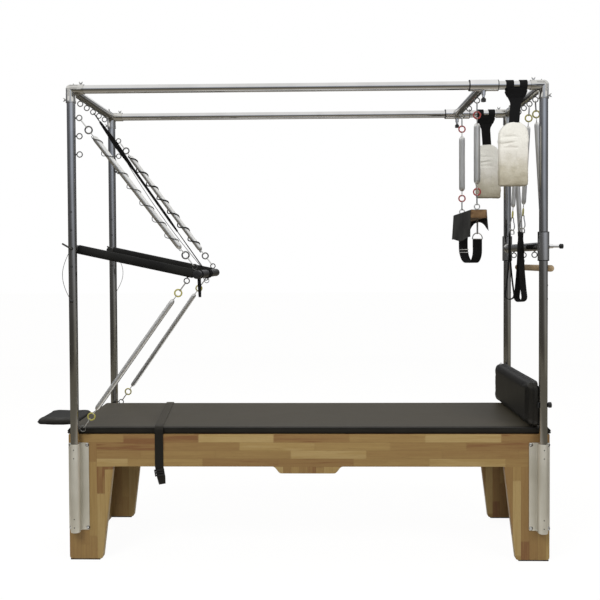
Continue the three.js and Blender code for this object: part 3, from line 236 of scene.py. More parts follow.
def stave_wood(name, run, middle, upright_from, shade=1.0, both_legs=True):
    made, tree, shader = start_finish(name, (0.25, 0.16, 0.06), 0.5, Specular_IOR_Level=0.25)
    coords = add_node(tree, "ShaderNodeTexCoord")
    parts = add_node(tree, "ShaderNodeSeparateXYZ", {0: coords.outputs["Object"]})
    level_place = number(tree, "SUBTRACT", parts.outputs[run], middle)
    height = number(tree, "SUBTRACT", parts.outputs[2], rail_low)
    toward_leg = number(tree, "ABSOLUTE" if both_legs else "MULTIPLY", level_place, -1.0)
    in_leg = number(tree, "GREATER_THAN", toward_leg, upright_from)
    in_leg = number(tree, "MULTIPLY", in_leg, number(tree, "LESS_THAN", height, 3 * stave_width))
    below = number(tree, "LESS_THAN", height, 0.0)
    stands = number(tree, "MAXIMUM", in_leg, below)
    along = add_node(tree, "ShaderNodeMix", {0: stands, 2: level_place, 3: height}).outputs[0]
    across = add_node(tree, "ShaderNodeMix", {0: stands, 2: height, 3: level_place}).outputs[0]
    row = number(tree, "FLOOR", number(tree, "DIVIDE", across, stave_width))
    row = number(tree, "MULTIPLY_ADD", stands, 37.0, row)
    row_noise = add_node(tree, "ShaderNodeTexWhiteNoise", {"W": row}, noise_dimensions="1D")
    teeth = number(tree, "MULTIPLY", number(tree, "PINGPONG", across, finger_pitch), finger_slope)
    start = number(tree, "ADD", number(tree, "ADD", along, teeth), 9.0)
    slot = number(tree, "MULTIPLY_ADD", row_noise.outputs["Value"], 5.0, number(
        tree, "DIVIDE", start, stave_length))
    block = number(tree, "FLOOR", slot)
    seed = add_node(tree, "ShaderNodeCombineXYZ", {0: row, 1: block, 2: 0.5})
    block_noise = add_node(tree, "ShaderNodeTexWhiteNoise", {"Vector": seed.outputs[0]})
    grain_place = add_node(tree, "ShaderNodeCombineXYZ", {
        0: number(tree, "MULTIPLY", along, 5.0), 1: number(tree, "MULTIPLY", across, 95.0),
        2: number(tree, "MULTIPLY_ADD", block_noise.outputs["Value"], 40.0, number(
            tree, "MULTIPLY", parts.outputs[1 - run], 95.0))})
    grain = add_node(tree, "ShaderNodeTexNoise", {
        "Vector": grain_place.outputs[0], "Scale": 1.0, "Detail": 5.0, "Distortion": 0.6}).outputs[0]
    pores = add_node(tree, "ShaderNodeTexNoise", {
        "Vector": grain_place.outputs[0], "Scale": 5.0, "Detail": 2.0}).outputs[0]
    tone = number(tree, "MULTIPLY_ADD", number(tree, "SUBTRACT", grain, 0.5), 0.75, block_noise.outputs[0])
    colour = tints(tree, tone, [(place, tuple(shade * c for c in tint)) for place, tint in wood_tints])
    edge_across = number(tree, "ABSOLUTE", number(tree, "SUBTRACT", number(
        tree, "FRACT", number(tree, "DIVIDE", across, stave_width)), 0.5))
    edge_along = number(tree, "ABSOLUTE", number(tree, "SUBTRACT", number(tree, "FRACT", slot), 0.5))
    glue_across = number(tree, "GREATER_THAN", edge_across, 0.5 - 0.0005 / stave_width)
    glue_along = number(tree, "GREATER_THAN", edge_along, 0.5 - 0.0006 / stave_length)
    glue = number(tree, "MAXIMUM", glue_across, glue_along)
    dark = number(tree, "ADD", number(tree, "MULTIPLY", glue, 0.35), number(
        tree, "MULTIPLY", number(tree, "GREATER_THAN", pores, 0.64), 0.18))
    mixed = add_node(tree, "ShaderNodeMix", {
        0: dark, 6: colour, 7: (0.09 * shade, 0.045 * shade, 0.016 * shade, 1)}, data_type="RGBA")
    tree.links.new(mixed.outputs[2], shader.inputs["Base Color"])
    tree.links.new(shift_range(tree, grain, 0.42, 0.62), shader.inputs["Roughness"])
    raise_surface(tree, shader, number(tree, "SUBTRACT", grain, dark), 0.00025, 0.7)
    return made


side_wood = stave_wood("rubberwood_side", 0, bench_middle, 0.955, both_legs=False)
end_wood = stave_wood("rubberwood_end", 1, 0.0, 0.17, 0.92)
print("stave rows in the rail:", round((rail_high - rail_low) / stave_width, 2))

# %% [markdown]
# Plain timber comes in three pieces: the beech end of the trapeze board, the turned dowel of the
# roll-down bar and the plywood deck under the mattress. One recipe serves: long noise along the
# grain picks between two tints, and finer noise along the same line opens the pores.

# %% Plain timber


def timber(name, dark, light, stretch, roughness):
    made, tree, shader = start_finish(name, light, roughness)
    rings = speckle(tree, 60.0, stretch, 4.0)
    fibres = speckle(tree, 420.0, stretch, 2.0)
    both = number(tree, "MULTIPLY_ADD", fibres, 0.35, number(tree, "MULTIPLY", rings, 0.75))
    tree.links.new(tints(tree, both, [(0.4, dark), (0.66, light)]), shader.inputs["Base Color"])
    tree.links.new(shift_range(tree, fibres, roughness - 0.08, roughness + 0.1), shader.inputs["Roughness"])
    raise_surface(tree, shader, fibres, 0.00015, 0.6)
    return made


board_wood = timber("trapeze_beech", (0.085, 0.043, 0.016), (0.170, 0.098, 0.040), (1, 0.05, 1), 0.5)
dowel_wood = timber("turned_dowel", (0.280, 0.185, 0.095), (0.440, 0.330, 0.195), (1, 0.05, 1), 0.45)
deck_wood = timber("deck_plywood", (0.300, 0.200, 0.105), (0.430, 0.310, 0.180), (0.08, 1, 1), 0.65)

# %% [markdown]
# The pads are covered in black upholstery vinyl. Voronoi cells give its pebbles, and slow noise gives the
# faint clouds that hands and feet leave. The mattress has its own copy of the vinyl with a warm sheen added:
# a painted sheen, so that the flat top of the mattress looks grey-brown and lit while its sides look black.

# %% Upholstery vinyl, hide, rubber, foam and moulded plastic


def pebbled(name, dark, light, roughness, cell_scale, depth, **sockets):
    made, tree, shader = start_finish(name, light, roughness, **sockets)
    clouds = speckle(tree, 7.0, detail=3.0)
    tree.links.new(tints(tree, clouds, [(0.35, dark), (0.65, light)]), shader.inputs["Base Color"])
    coords = add_node(tree, "ShaderNodeTexCoord")
    cells = add_node(tree, "ShaderNodeTexVoronoi", {
        "Vector": coords.outputs["Object"], "Scale": cell_scale}, feature="SMOOTH_F1")
    fine = speckle(tree, cell_scale * 2.5, detail=2.0)
    height = number(tree, "MULTIPLY_ADD", fine, 0.3, cells.outputs["Distance"])
    tree.links.new(shift_range(tree, clouds, roughness - 0.06, roughness + 0.06), shader.inputs["Roughness"])
    raise_surface(tree, shader, height, depth, 0.6)
    return made


pad_vinyl = pebbled(
    "black_vinyl", (0.0075, 0.0072, 0.0064), (0.0105, 0.0101, 0.0090), 0.40, 700.0, 0.00006,
    Specular_IOR_Level=0.32, Specular_Tint=(1.0, 0.95, 0.86, 1))
# The mattress's copy of the pad vinyl, with a warm sheen added: painted sheen, so its top reads lighter and
# lit.
mattress_vinyl_painted_sheen = pebbled(
    "mattress_vinyl_painted_sheen", (0.0075, 0.0072, 0.0064), (0.0105, 0.0101, 0.0090), 0.42, 700.0, 0.00006,
    Specular_IOR_Level=0.32, Specular_Tint=(1.0, 0.93, 0.80, 1), Sheen_Weight=0.12, Sheen_Roughness=0.45,
    Sheen_Tint=(1.0, 0.86, 0.58, 1))
# Lighter and glossier than the cover vinyl, to paint a highlight line along the mattress edge.
piping_vinyl_painted_highlight = pebbled(
    "piping_vinyl_painted_highlight", (0.016, 0.0155, 0.015), (0.022, 0.021, 0.020), 0.30, 700.0, 0.00004,
    Specular_IOR_Level=0.5, Specular_Tint=(1.0, 0.97, 0.94, 1))
hide_cover = pebbled(
    "suede_hide", (0.020, 0.020, 0.019), (0.036, 0.036, 0.034), 0.9, 380.0, 0.0002, Specular_IOR_Level=0.15)
foot_rubber = pebbled("foot_rubber", (0.008, 0.008, 0.008), (0.014, 0.014, 0.014), 0.8, 500.0, 0.0002)
grip_foam = pebbled(
    "grip_foam", (0.006, 0.006, 0.006), (0.012, 0.012, 0.011), 0.78, 900.0, 0.0002, Specular_IOR_Level=0.2)
black_plastic = pebbled("moulded_black", (0.006, 0.006, 0.006), (0.010, 0.010, 0.010), 0.38, 1400.0, 0.00003)
yellow_coat = pebbled("yellow_coating", (0.27, 0.245, 0.055), (0.35, 0.32, 0.085), 0.42, 900.0, 0.00005)
red_coat = pebbled("red_coating", (0.28, 0.040, 0.040), (0.36, 0.060, 0.055), 0.42, 900.0, 0.00005)

# %% [markdown]
# Webbing is a flat weave of black polyester. Its straps bend in every direction, so the weave follows
# the strap's own UV map, which is laid out in metres along and across the band. Two waves at right
# angles make the over-and-under of the yarn, and their product gives the small square shadows.

# %% Webbing and cord


def woven(name, dark, light, pitch, depth, roughness=0.85, **sockets):
    made, tree, shader = start_finish(name, light, roughness, **{"Specular_IOR_Level": 0.15, **sockets})
    coords = add_node(tree, "ShaderNodeTexCoord")
    parts = add_node(tree, "ShaderNodeSeparateXYZ", {0: coords.outputs["UV"]})
    warp = number(tree, "SINE", number(tree, "MULTIPLY", parts.outputs[1], math.tau / pitch))
    weft = number(tree, "SINE", number(tree, "MULTIPLY", parts.outputs[0], math.tau / pitch))
    weave = number(tree, "MULTIPLY_ADD", number(tree, "MULTIPLY", warp, weft), 0.5, 0.5)
    fuzz = speckle(tree, 900.0, detail=2.0)
    tone = number(tree, "MULTIPLY_ADD", fuzz, 0.4, number(tree, "MULTIPLY", weave, 0.6))
    tree.links.new(tints(tree, tone, [(0.2, dark), (0.8, light)]), shader.inputs["Base Color"])
    raise_surface(tree, shader, weave, depth, 0.8)
    return made


webbing = woven("black_webbing", (0.0035, 0.0035, 0.0037), (0.011, 0.011, 0.0115), 0.0016, 0.0003)
# The belt's copy of the webbing, with the mattress's warm sheen: painted sheen, so its top over the mattress
# reads lit.
belt_webbing_painted_sheen = woven(
    "belt_webbing_painted_sheen", (0.0045, 0.0042, 0.0036), (0.011, 0.0105, 0.0095), 0.0016, 0.0001, 0.5,
    Specular_IOR_Level=0.3, Specular_Tint=(1.0, 0.93, 0.80, 1), Sheen_Weight=0.09, Sheen_Roughness=0.45,
    Sheen_Tint=(1.0, 0.86, 0.58, 1))
cord_weave = woven("braided_cord", (0.004, 0.004, 0.004), (0.014, 0.014, 0.014), 0.0012, 0.0002)

# %% [markdown]
# The fleece is lambswool: off-white and curly, a little greyer towards the bottom. Curls come from geometry
# later on; the material darkens and warms the hollows of the curl pattern, which is painted shade, and adds
# the gradient.

# %% Lambswool
fleece_foot, fleece_head = 1.675, 1.960
wool, wool_tree, wool_shader = start_finish(
    "lambswool", (0.74, 0.72, 0.66), 0.95, Specular_IOR_Level=0.2)
wool_place = add_node(wool_tree, "ShaderNodeTexCoord")
wool_parts = add_node(wool_tree, "ShaderNodeSeparateXYZ", {0: wool_place.outputs["Object"]})
wool_rise = add_node(wool_tree, "ShaderNodeMapRange", {
    "Value": wool_parts.outputs[2], "From Min": fleece_foot, "From Max": fleece_head})
wool_curls = speckle(wool_tree, 260.0, detail=4.0)
wool_clouds = speckle(wool_tree, 24.0, detail=2.0)
# Darker and warmer where the curl bump is low: painted shade in the hollows. The height gradient greys the
# lower part.
wool_tone_and_hollow_shade = number(wool_tree, "MULTIPLY_ADD", wool_clouds, 0.3, number(
    wool_tree, "MULTIPLY_ADD", wool_curls, 0.25, wool_rise.outputs["Result"]))
wool_tree.links.new(tints(wool_tree, wool_tone_and_hollow_shade, [
    (0.24, (0.27, 0.24, 0.175)), (0.50, (0.44, 0.41, 0.33)), (0.78, (0.64, 0.62, 0.57)),
    (1.0, (0.72, 0.71, 0.66))]), wool_shader.inputs["Base Color"])
raise_surface(wool_tree, wool_shader, wool_curls, 0.0012, 0.9)
print("finishes made:", len(bpy.data.materials))

# %% [markdown]
# Most of the table is turned, bent or sawn stock, so a handful of shaping helpers covers it. A turned
# part is a profile spun round its axis. A ring is a small circle spun round a larger one. A sawn board
# is an outline that is extruded, and its sharp edges are then bevelled, because no real edge is
# perfectly sharp and the bevel is what catches the light.

# %% Shaping helpers


def is_vertex(thing):
    return isinstance(thing, bmesh.types.BMVert)


def axis_turn(way):
    return Vector((0, 0, 1)).rotation_difference(Vector(way)).to_matrix().to_4x4()


def turned(bm, start, way, profile, steps=40):
    start, way = Vector(start), Vector(way).normalized()
    side = axis_turn(way) @ Vector((1, 0, 0))
    line = [bm.verts.new(start + way * reach + side * radius) for reach, radius in profile]
    edges = [bm.edges.new(pair) for pair in zip(line, line[1:])]
    bmesh.ops.spin(
        bm, geom=line + edges, cent=start, axis=way, dvec=(0, 0, 0), angle=math.tau, steps=steps,
        use_merge=True, use_duplicate=False)


def rod(bm, start, end, radius, edge=0.5, steps=40):
    run = Vector(end) - Vector(start)
    profile = [(0, 0), (0, radius - edge), (edge, radius), (run.length - edge, radius),
               (run.length, radius - edge), (run.length, 0)]
    turned(bm, start, run, profile, steps)


def ring(bm, centre, radius, wire_radius, facing=(0, 1, 0), steps=40, round_steps=10):
    centre, facing = Vector(centre), Vector(facing).normalized()
    side = axis_turn(facing) @ Vector((1, 0, 0))
    third = facing.cross(side)
    place = Matrix.Translation(centre + side * radius) @ axis_turn(third)
    circle = bmesh.ops.create_circle(
        bm, cap_ends=False, segments=round_steps, radius=wire_radius, matrix=place)["verts"]
    edges = list({edge for vertex in circle for edge in vertex.link_edges})
    bmesh.ops.spin(
        bm, geom=circle + edges, cent=centre, axis=facing, dvec=(0, 0, 0), angle=math.tau, steps=steps,
        use_merge=True, use_duplicate=False)


def board(bm, outline, way, low, high):
    corners = []
    for u, v in outline:
        corner = [u, v]
        corner.insert(way, low)
        corners.append(bm.verts.new(corner))
    face = bm.faces.new(corners)
    grown = bmesh.ops.extrude_face_region(bm, geom=[face])["geom"]
    step = Vector((0, 0, 0))
    step[way] = high - low
    bmesh.ops.translate(bm, verts=list(filter(is_vertex, grown)), vec=step)


def block(bm, low, high):
    low, high = Vector(low), Vector(high)
    place = Matrix.Translation((low + high) / 2) @ Matrix.Diagonal((*(high - low), 1))
    return bmesh.ops.create_cube(bm, size=1, matrix=place)["verts"]


def round_edges(bm, width, segments=2, sharper_than=40):
    bmesh.ops.recalc_face_normals(bm, faces=bm.faces)
    sharp = [e for e in bm.edges if e.is_manifold and e.calc_face_angle(0) > math.radians(sharper_than)]
    bmesh.ops.bevel(
        bm, geom=sharp, offset=width, offset_type="OFFSET", affect="EDGES", segments=segments,
        profile=0.5, material=-1, clamp_overlap=True)


def rounded_outline(low_u, high_u, low_v, high_v, low_radius, high_radius, steps=6):
    points = []
    corners = [(high_u, low_v, low_radius, 1, 1, -90), (high_u, high_v, high_radius, 1, -1, 0),
               (low_u, high_v, high_radius, -1, -1, 90), (low_u, low_v, low_radius, -1, 1, 180)]
    for u, v, radius, out_u, in_v, start in corners:
        for step in range(steps + 1):
            angle = math.radians(start + 90 * step / steps)
            centre = (u - out_u * radius, v + in_v * radius)
            points.append((centre[0] + radius * math.cos(angle), centre[1] + radius * math.sin(angle)))
    return points


# %% [markdown]
# Wires, hooks and cords are bent from round stock, so each is a curve with a round section. The curve
# lives only long enough to be turned into a mesh. Straps are flat, so each is a grid that is laid
# along its route, a row of points at a time, and then given its thickness with solidify.

# %% Wires and straps


def wire(bm, points, radius, closed=False, smooth=False, round_steps=2):
    line = bpy.data.curves.new("bent_wire", "CURVE")
    line.dimensions = "3D"
    line.bevel_depth = radius
    line.bevel_resolution = round_steps
    line.use_fill_caps = True
    if smooth:
        spline = line.splines.new("BEZIER")
        spline.bezier_points.add(len(points) - 1)
        for knot, point in zip(spline.bezier_points, points):
            knot.co = point
            knot.handle_left_type = knot.handle_right_type = "AUTO"
        spline.resolution_u = 6
    else:
        spline = line.splines.new("POLY")
        spline.points.add(len(points) - 1)
        for knot, point in zip(spline.points, points):
            knot.co = (*point, 1)
    spline.use_cyclic_u = closed
    holder = bpy.data.objects.new("bent_wire", line)
    bpy.context.scene.collection.objects.link(holder)
    bpy.context.view_layer.update()
    bm.from_mesh(holder.to_mesh())
    holder.to_mesh_clear()
    bpy.data.objects.remove(holder)
    bpy.data.curves.remove(line)


def strap(bm, path, across, width, wall, rows=2):
    """A flat band along path. across is the direction of its width, one for all or one a point."""
    path = [Vector(point) for point in path]
    ways = [Vector(way).normalized() for way in across] if isinstance(across, list) else [
        Vector(across).normalized()] * len(path)
    widths = width if isinstance(width, list) else [width] * len(path)
    uv = bm.loops.layers.uv.verify()
    made = bmesh.ops.create_grid(bm, x_segments=len(path) - 1, y_segments=rows, size=0.5)["verts"]
    faces = list({face for vertex in made for face in vertex.link_faces})
    reach = [0.0]
    for here, there in zip(path, path[1:]):
        reach.append(reach[-1] + (there - here).length)
    for face in faces:
        for loop in face.loops:
            step = round((loop.vert.co.x + 0.5) * (len(path) - 1))
            loop[uv].uv = (reach[step] / 1000, loop.vert.co.y * widths[step] / 1000)
    for vertex in made:
        step = round((vertex.co.x + 0.5) * (len(path) - 1))
        before, after = path[max(step - 1, 0)], path[min(step + 1, len(path) - 1)]
        out = (after - before).normalized().cross(ways[step])
        vertex.co = path[step] + ways[step] * vertex.co.y * widths[step] + out * wall / 2
    bmesh.ops.recalc_face_normals(bm, faces=faces)
    first = faces[0]
    middle = first.calc_center_median()
    step = min(range(len(path) - 1), key=lambda i: ((path[i] + path[i + 1]) / 2 - middle).length)
    out = (path[step + 1] - path[step]).normalized().cross(ways[step])
    if first.normal.dot(out) < 0:
        bmesh.ops.reverse_faces(bm, faces=faces)
    bmesh.ops.solidify(bm, geom=faces, thickness=wall)


def arc(centre, u, v, radius, start, end, steps):
    """Points of an arc in the plane of u and v, from start to end in degrees."""
    centre, u, v = Vector(centre), Vector(u), Vector(v)
    turns = [math.radians(start + (end - start) * step / steps) for step in range(steps + 1)]
    return [centre + (u * math.cos(a) + v * math.sin(a)) * radius for a in turns]


# %% [markdown]
# A finished mesh becomes a piece of the table in one place: its seams are closed, its faces turned outwards,
# it is moved to metres, and its sharp edges are told from its round ones. The piece rides on the body of the
# solid that it stands for. Springs and straps that cross the hinge of the push-through bar are instead left
# in place, on no body.

# %% Turning a mesh into a piece of the table


def piece(name, bm, finish, slot, *nodes, body=None, flow=None, sharp=38, turn_out=True):
    bmesh.ops.remove_doubles(bm, verts=bm.verts, dist=0.003)
    if turn_out:
        bmesh.ops.recalc_face_normals(bm, faces=bm.faces)
    bm.transform(to_metres)
    mesh = bpy.data.meshes.new(name)
    bm.to_mesh(mesh)
    bm.free()
    mesh.materials.append(finish)
    mesh.shade_smooth()
    mesh.set_sharp_from_angle(angle=math.radians(sharp))
    made = bpy.data.objects.new(name, mesh)
    bpy.context.scene.collection.objects.link(made)
    if nodes:
        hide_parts(*nodes)
    if flow is not None:
        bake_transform(made)
    else:
        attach(made, body or home[nodes[0]])
    return made


# %% [markdown]
# The cords come first, because they are the only pieces with a length of their own. A black safety
# cord is tied at both necks of each upper spring and winds round it seven times; it would catch the
# bar if the spring broke. A thin steel lanyard hangs from each pull pin to its clip on the post, so
# that the pin can't be lost. The routes follow those of the solids, and the front cord is thinner.

# %% Places on the push-through bar and the canopy
post_x, post_y, canopy_z = 1045, 350, 2120
tube_radius, clearance = 19, 0.3
eye_radius, eye_wire, eye_reach = 12, 2.5, 17.5
post_eye_heights = (1994, 1913, 1832, 604)
crossbar_eye_pitch, slider_eye_pitch = 105, 200
bar_drop = math.radians(12.2)
arm_way = Vector((math.cos(bar_drop), 0, -math.sin(bar_drop)))
arm_under = Vector((-math.sin(bar_drop), 0, -math.cos(bar_drop)))
top_eye_way = Vector((-math.sin(math.radians(20)), 0, math.cos(math.radians(20))))
pivot_z = 1413
bar_pivot = Vector((-post_x, 0, pivot_z))
arm_length, arm_y, lower_eye_back, cover_radius = 565, 306, 42, 20.5
pin_collar, handle_radius, pin_lanyard_drop = 6, 3.4, 232


def on_arm(side, distance):
    return bar_pivot + arm_way * distance + Vector((0, side * arm_y, 0))


def eye_centre(carrier, way, carrier_radius):
    return Vector(carrier) + Vector(way) * (carrier_radius + eye_reach)


def spring_frame(start, end):
    ahead = (end - start).normalized()
    side = Vector((0, 1, 0)) - ahead * ahead.y
    side.normalize()
    return Matrix.Translation(start) @ Matrix((side.cross(ahead), side, ahead)).transposed().to_4x4()


upper_ends = {side: (
    eye_centre((-post_x, side * post_y, post_eye_heights[0]), (1, 0, 0), tube_radius),
    eye_centre(on_arm(side, arm_length), top_eye_way, tube_radius)) for _, side in sides}
lower_ends = {side: (
    eye_centre(on_arm(side, arm_length - lower_eye_back), arm_under, cover_radius),
    eye_centre((-post_x, side * post_y, post_eye_heights[-1]), (1, 0, 0), tube_radius)) for _, side in sides}
print("upper spring length", round((upper_ends[1][1] - upper_ends[1][0]).length), "mm")

# %% Safety cords and pin lanyards
cord_radii, cord_turns, cord_steps = {-1: 1.6, 1: 3.0}, 7, 20
tied_radius, wound_radius, loose_turn, tied_at = 6.1, 18.6, 3.5, 96
lanyard_bow, lanyard_steps, lanyard_wire = {-1: 38, 1: 46}, 24, 1.2


for side_name, side in sides:
    start, end = upper_ends[side]
    local = spring_frame(start, end)
    length = (end - start).length
    low, high, steps = tied_at, length - tied_at, cord_turns * cord_steps
    thick = cord_radii[side]
    route = []
    for step in range(steps + 1):
        ease = min(1, min(step, steps - step) / (cord_steps / 2))
        radius = tied_radius + (wound_radius - tied_radius) * math.sin(ease * math.pi / 2)
        turn = -math.tau * step / cord_steps
        slip = 1.6 * math.sin(turn * 1.7) * ease
        route.append(local @ Vector((
            radius * math.cos(turn) + loose_turn * ease, radius * math.sin(turn),
            low + (high - low) * step / steps + slip)))
    bm = bmesh.new()
    wire(bm, route, thick)
    cord = piece(f"safety_cord_line_{side_name}", bm, cord_weave, "black_webbing",
                 f"safety_cord_{side_name}", flow=(start, end), sharp=80)

for side_name, side in sides:
    top_y = side * (post_y + tube_radius + clearance + pin_collar + handle_radius)
    top = Vector((-post_x, top_y, pivot_z - handle_radius))
    route = []
    for step in range(lanyard_steps + 1):
        share = step / lanyard_steps
        bow = side * math.sin(math.pi * share) * lanyard_bow[side]
        route.append(top + Vector((bow, 0, -pin_lanyard_drop * share)))
    bm = bmesh.new()
    wire(bm, route, lanyard_wire)
    lanyard = piece(f"pin_lanyard_{side_name}", bm, pin_steel, "pin_steel", f"pivot_pin_{side_name}",
                    sharp=80)

# %% [markdown]
# Each side of the bench is one glued panel: two legs that widen upwards, a rail between them and a
# shallow apron in the middle of it. The outline is drawn once and extruded to the panel's thickness.
# The sharp corners are routed round, about 3 mm, which a bevel with three segments gives.

# %% Side panels
wood_top, wood_face, board_wall = 573, 322, 36
frame_end, rail_z, foot_z = 1083, 426, 5.3
foot_x, knee_x = frame_end - 152, frame_end - 202
foot_round, apron_drop = 14, 31
cleat_depth, cleat_bite, cleat_top, cleat_height = 28, 0.6, 554.7, 40


def bend(start, pull, end, steps=5):
    points = []
    for step in range(steps + 1):
        t = step / steps
        points.append(tuple(
            (1 - t) ** 2 * a + 2 * t * (1 - t) * b + t * t * c for a, b, c in zip(start, pull, end)))
    return points


half_side = [(frame_end, wood_top)]
half_side += bend((frame_end, foot_z + foot_round), (frame_end, foot_z), (frame_end - foot_round, foot_z))
half_side += bend((foot_x + foot_round, foot_z), (foot_x, foot_z), (foot_x, foot_z + foot_round))
half_side += [(knee_x, rail_z)]
half_side += bend((159, rail_z), (148.75, rail_z), (138.5, rail_z - apron_drop / 2))
half_side += bend(
    (138.5, rail_z - apron_drop / 2), (128.25, rail_z - apron_drop), (118, rail_z - apron_drop))[1:]
side_outline = half_side + [(-x, z) for x, z in reversed(half_side)]
for side_name, side in sides:
    bm = bmesh.new()
    inner = wood_face - board_wall
    board(bm, side_outline, 1, side * inner, side * wood_face)
    round_edges(bm, 2.6, 3)
    cleat_x = frame_end - board_wall - clearance
    cleat = sorted((side * (inner - cleat_depth), side * (inner + cleat_bite)))
    block(bm, (-cleat_x, cleat[0], cleat_top - cleat_height), (cleat_x, cleat[1], cleat_top))
    piece(f"bench_side_{side_name}", bm, side_wood, "panel_wood", f"side_frame_{side_name}")
print("side outline has", len(side_outline), "points")

# %% [markdown]
# The end panels stand between the side panels, and their legs widen upwards in the same way. Rubber
# shoes keep the feet off the floor. The plywood deck already has the right plain shape, so its solid
# stays and only takes a better finish.

# %% End panels, rubber shoes and the deck
inner_y = wood_face - board_wall - clearance
foot_y = wood_face - board_wall - 118
shoe_inset = 3
shoe_arms = ((frame_end - 138, wood_face - 33, 5), (frame_end - 33, inner_y - 115, 4.98))
knee_y = foot_y - 50
end_outline = [(-inner_y, wood_top), (-inner_y, foot_z), (-foot_y, foot_z), (-knee_y, rail_z),
               (knee_y, rail_z), (foot_y, foot_z), (inner_y, foot_z), (inner_y, wood_top)]
for end_name, end in ends:
    bm = bmesh.new()
    board(bm, end_outline, 0, end * (frame_end - board_wall), end * frame_end)
    round_edges(bm, 1.6, 2)
    piece(f"bench_end_{end_name}", bm, end_wood, "panel_wood", f"end_panel_{end_name}")
    for side_name, side in sides:
        bm = bmesh.new()
        for near_x, near_y, height in shoe_arms:
            wide = sorted((end * near_x, end * (frame_end - shoe_inset)))
            deep = sorted((side * near_y, side * (wood_face - shoe_inset)))
            block(bm, (wide[0], deep[0], 0), (wide[1], deep[1], height))
        round_edges(bm, 1.2, 2)
        piece(f"rubber_shoe_{side_name}_{end_name}", bm, foot_rubber, "foot_rubber",
              f"foot_pad_{side_name}_{end_name}")
deck = frame["nodes"]["deck_board"]
deck.data.materials.clear()
deck.data.materials.append(deck_wood)

# %% [markdown]
# The posts stand in clamped aluminium sockets that are screwed to the side panels. The flange plate, its two
# shallow ribs and the round housing in front of it are one mesh. The four pan-head screws, a thin black disc
# set a little low and to the right under each screw as its painted shadow, and the small set screws that grip
# the tube are pieces of their own.

# %% Post sockets
socket_top, socket_low = 536, 140
flange_wide, flange_wall = 90, 4


def cap_screw(bm, place, way, radius=4.5, height=3.2):
    place, way = Vector(place), Vector(way)
    profile = [(0, 0), (0, radius), (height * 0.55, radius), (height, radius * 0.55),
               (height, radius * 0.35), (height * 0.55, radius * 0.3), (height * 0.55, 0)]
    turned(bm, place - way * 0.5, way, profile, 20)


for side_name, side in sides:
    for end_name, end in ends:
        x, y = end * post_x, side * post_y
        face = side * (wood_face + clearance)
        out_x = end * (frame_end - shoe_inset)
        plate = sorted((out_x + end * 2, out_x - end * flange_wide))
        bm = bmesh.new()
        outline = rounded_outline(plate[0], plate[1], socket_low, socket_top, 5, 5, 3)
        board(bm, outline, 1, face, face + side * flange_wall)
        web = sorted((face + side * 0.6, side * post_y))
        block(bm, (x - 17, web[0], socket_low), (x + 17, web[1], socket_top))
        for rib_x in (x - 20, x + 20):
            rib = sorted((face + side * 2, face + side * 9))
            block(bm, (rib_x - 3, rib[0], socket_low), (rib_x + 3, rib[1], socket_top))
        round_edges(bm, 0.9, 2)
        turned(bm, (x, y, socket_low - 3), (0, 0, 1), [
            (0, 0), (0, 20), (1, 22), (398, 22), (399, 21.4), (399, 19.4), (396, 19.3)])
        piece(f"socket_{side_name}_{end_name}", bm, socket_metal, "socket_aluminium",
              f"post_socket_{side_name}_{end_name}")
        bm, screw_shadow_discs = bmesh.new(), bmesh.new()
        for plate_x in (plate[0] + 8, plate[1] - 8):
            for z in (socket_low + 12, socket_top - 8):
                cap_screw(bm, (plate_x, face + side * flange_wall, z), (0, side, 0), 6.2, 4.6)
                # A thin black disc under each screw, set a little low and to the right of it: the screw's
                # painted shadow.
                turned(screw_shadow_discs, (plate_x + 1.2, face + side * 3.9, z - 1.4), (0, side, 0), [
                    (0, 0), (0, 8.2), (0.5, 8.2), (0.5, 0)], 20)
        piece(f"socket_screws_{side_name}_{end_name}", bm, bright_steel, None, body="bench_and_canopy")
        piece(f"screw_painted_shadows_{side_name}_{end_name}", screw_shadow_discs, black_plastic, None, body="bench_and_canopy")
        bm = bmesh.new()
        for z in (socket_top - 24, socket_top - 62, socket_low + 60, socket_low + 22):
            turned(bm, (x, y + side * 21.2, z), (0, side, 0), [
                (0, 0), (0, 2.6), (1.1, 2.6), (1.3, 2.1), (0.9, 1.8), (0.9, 0)], 16)
        turned(bm, (x, y, socket_low - 4.4), (0, 0, 1), [(0, 0), (0, 17), (1.5, 18.5), (1.5, 0)], 24)
        piece(f"set_screws_{side_name}_{end_name}", bm, black_plastic, "knob_plastic",
              body="bench_and_canopy")

# %% [markdown]
# The posts and rails are round tube, 38 mm across. A turned profile makes each, and ring eyes of bent wire
# are screwed into the left posts for the springs. The row of small holes lets the push-through bar be hung
# higher or lower; each hole is drawn as a dark rimmed plug set into the tube, which is painted shade for the
# hole's dark inside.

# %% Posts, rails and their eyes


def eye(bm, carrier, way, carrier_radius):
    carrier, way = Vector(carrier), Vector(way)
    centre = eye_centre(carrier, way, carrier_radius)
    ring(bm, centre, eye_radius, eye_wire)
    rod(bm, carrier + way * (carrier_radius - 2), centre - way * (eye_radius - 1), eye_wire, 0.2, 12)
    rod(bm, carrier + way * (carrier_radius - 0.8), carrier + way * (carrier_radius + 1.8), 5.2, 0.5, 6)


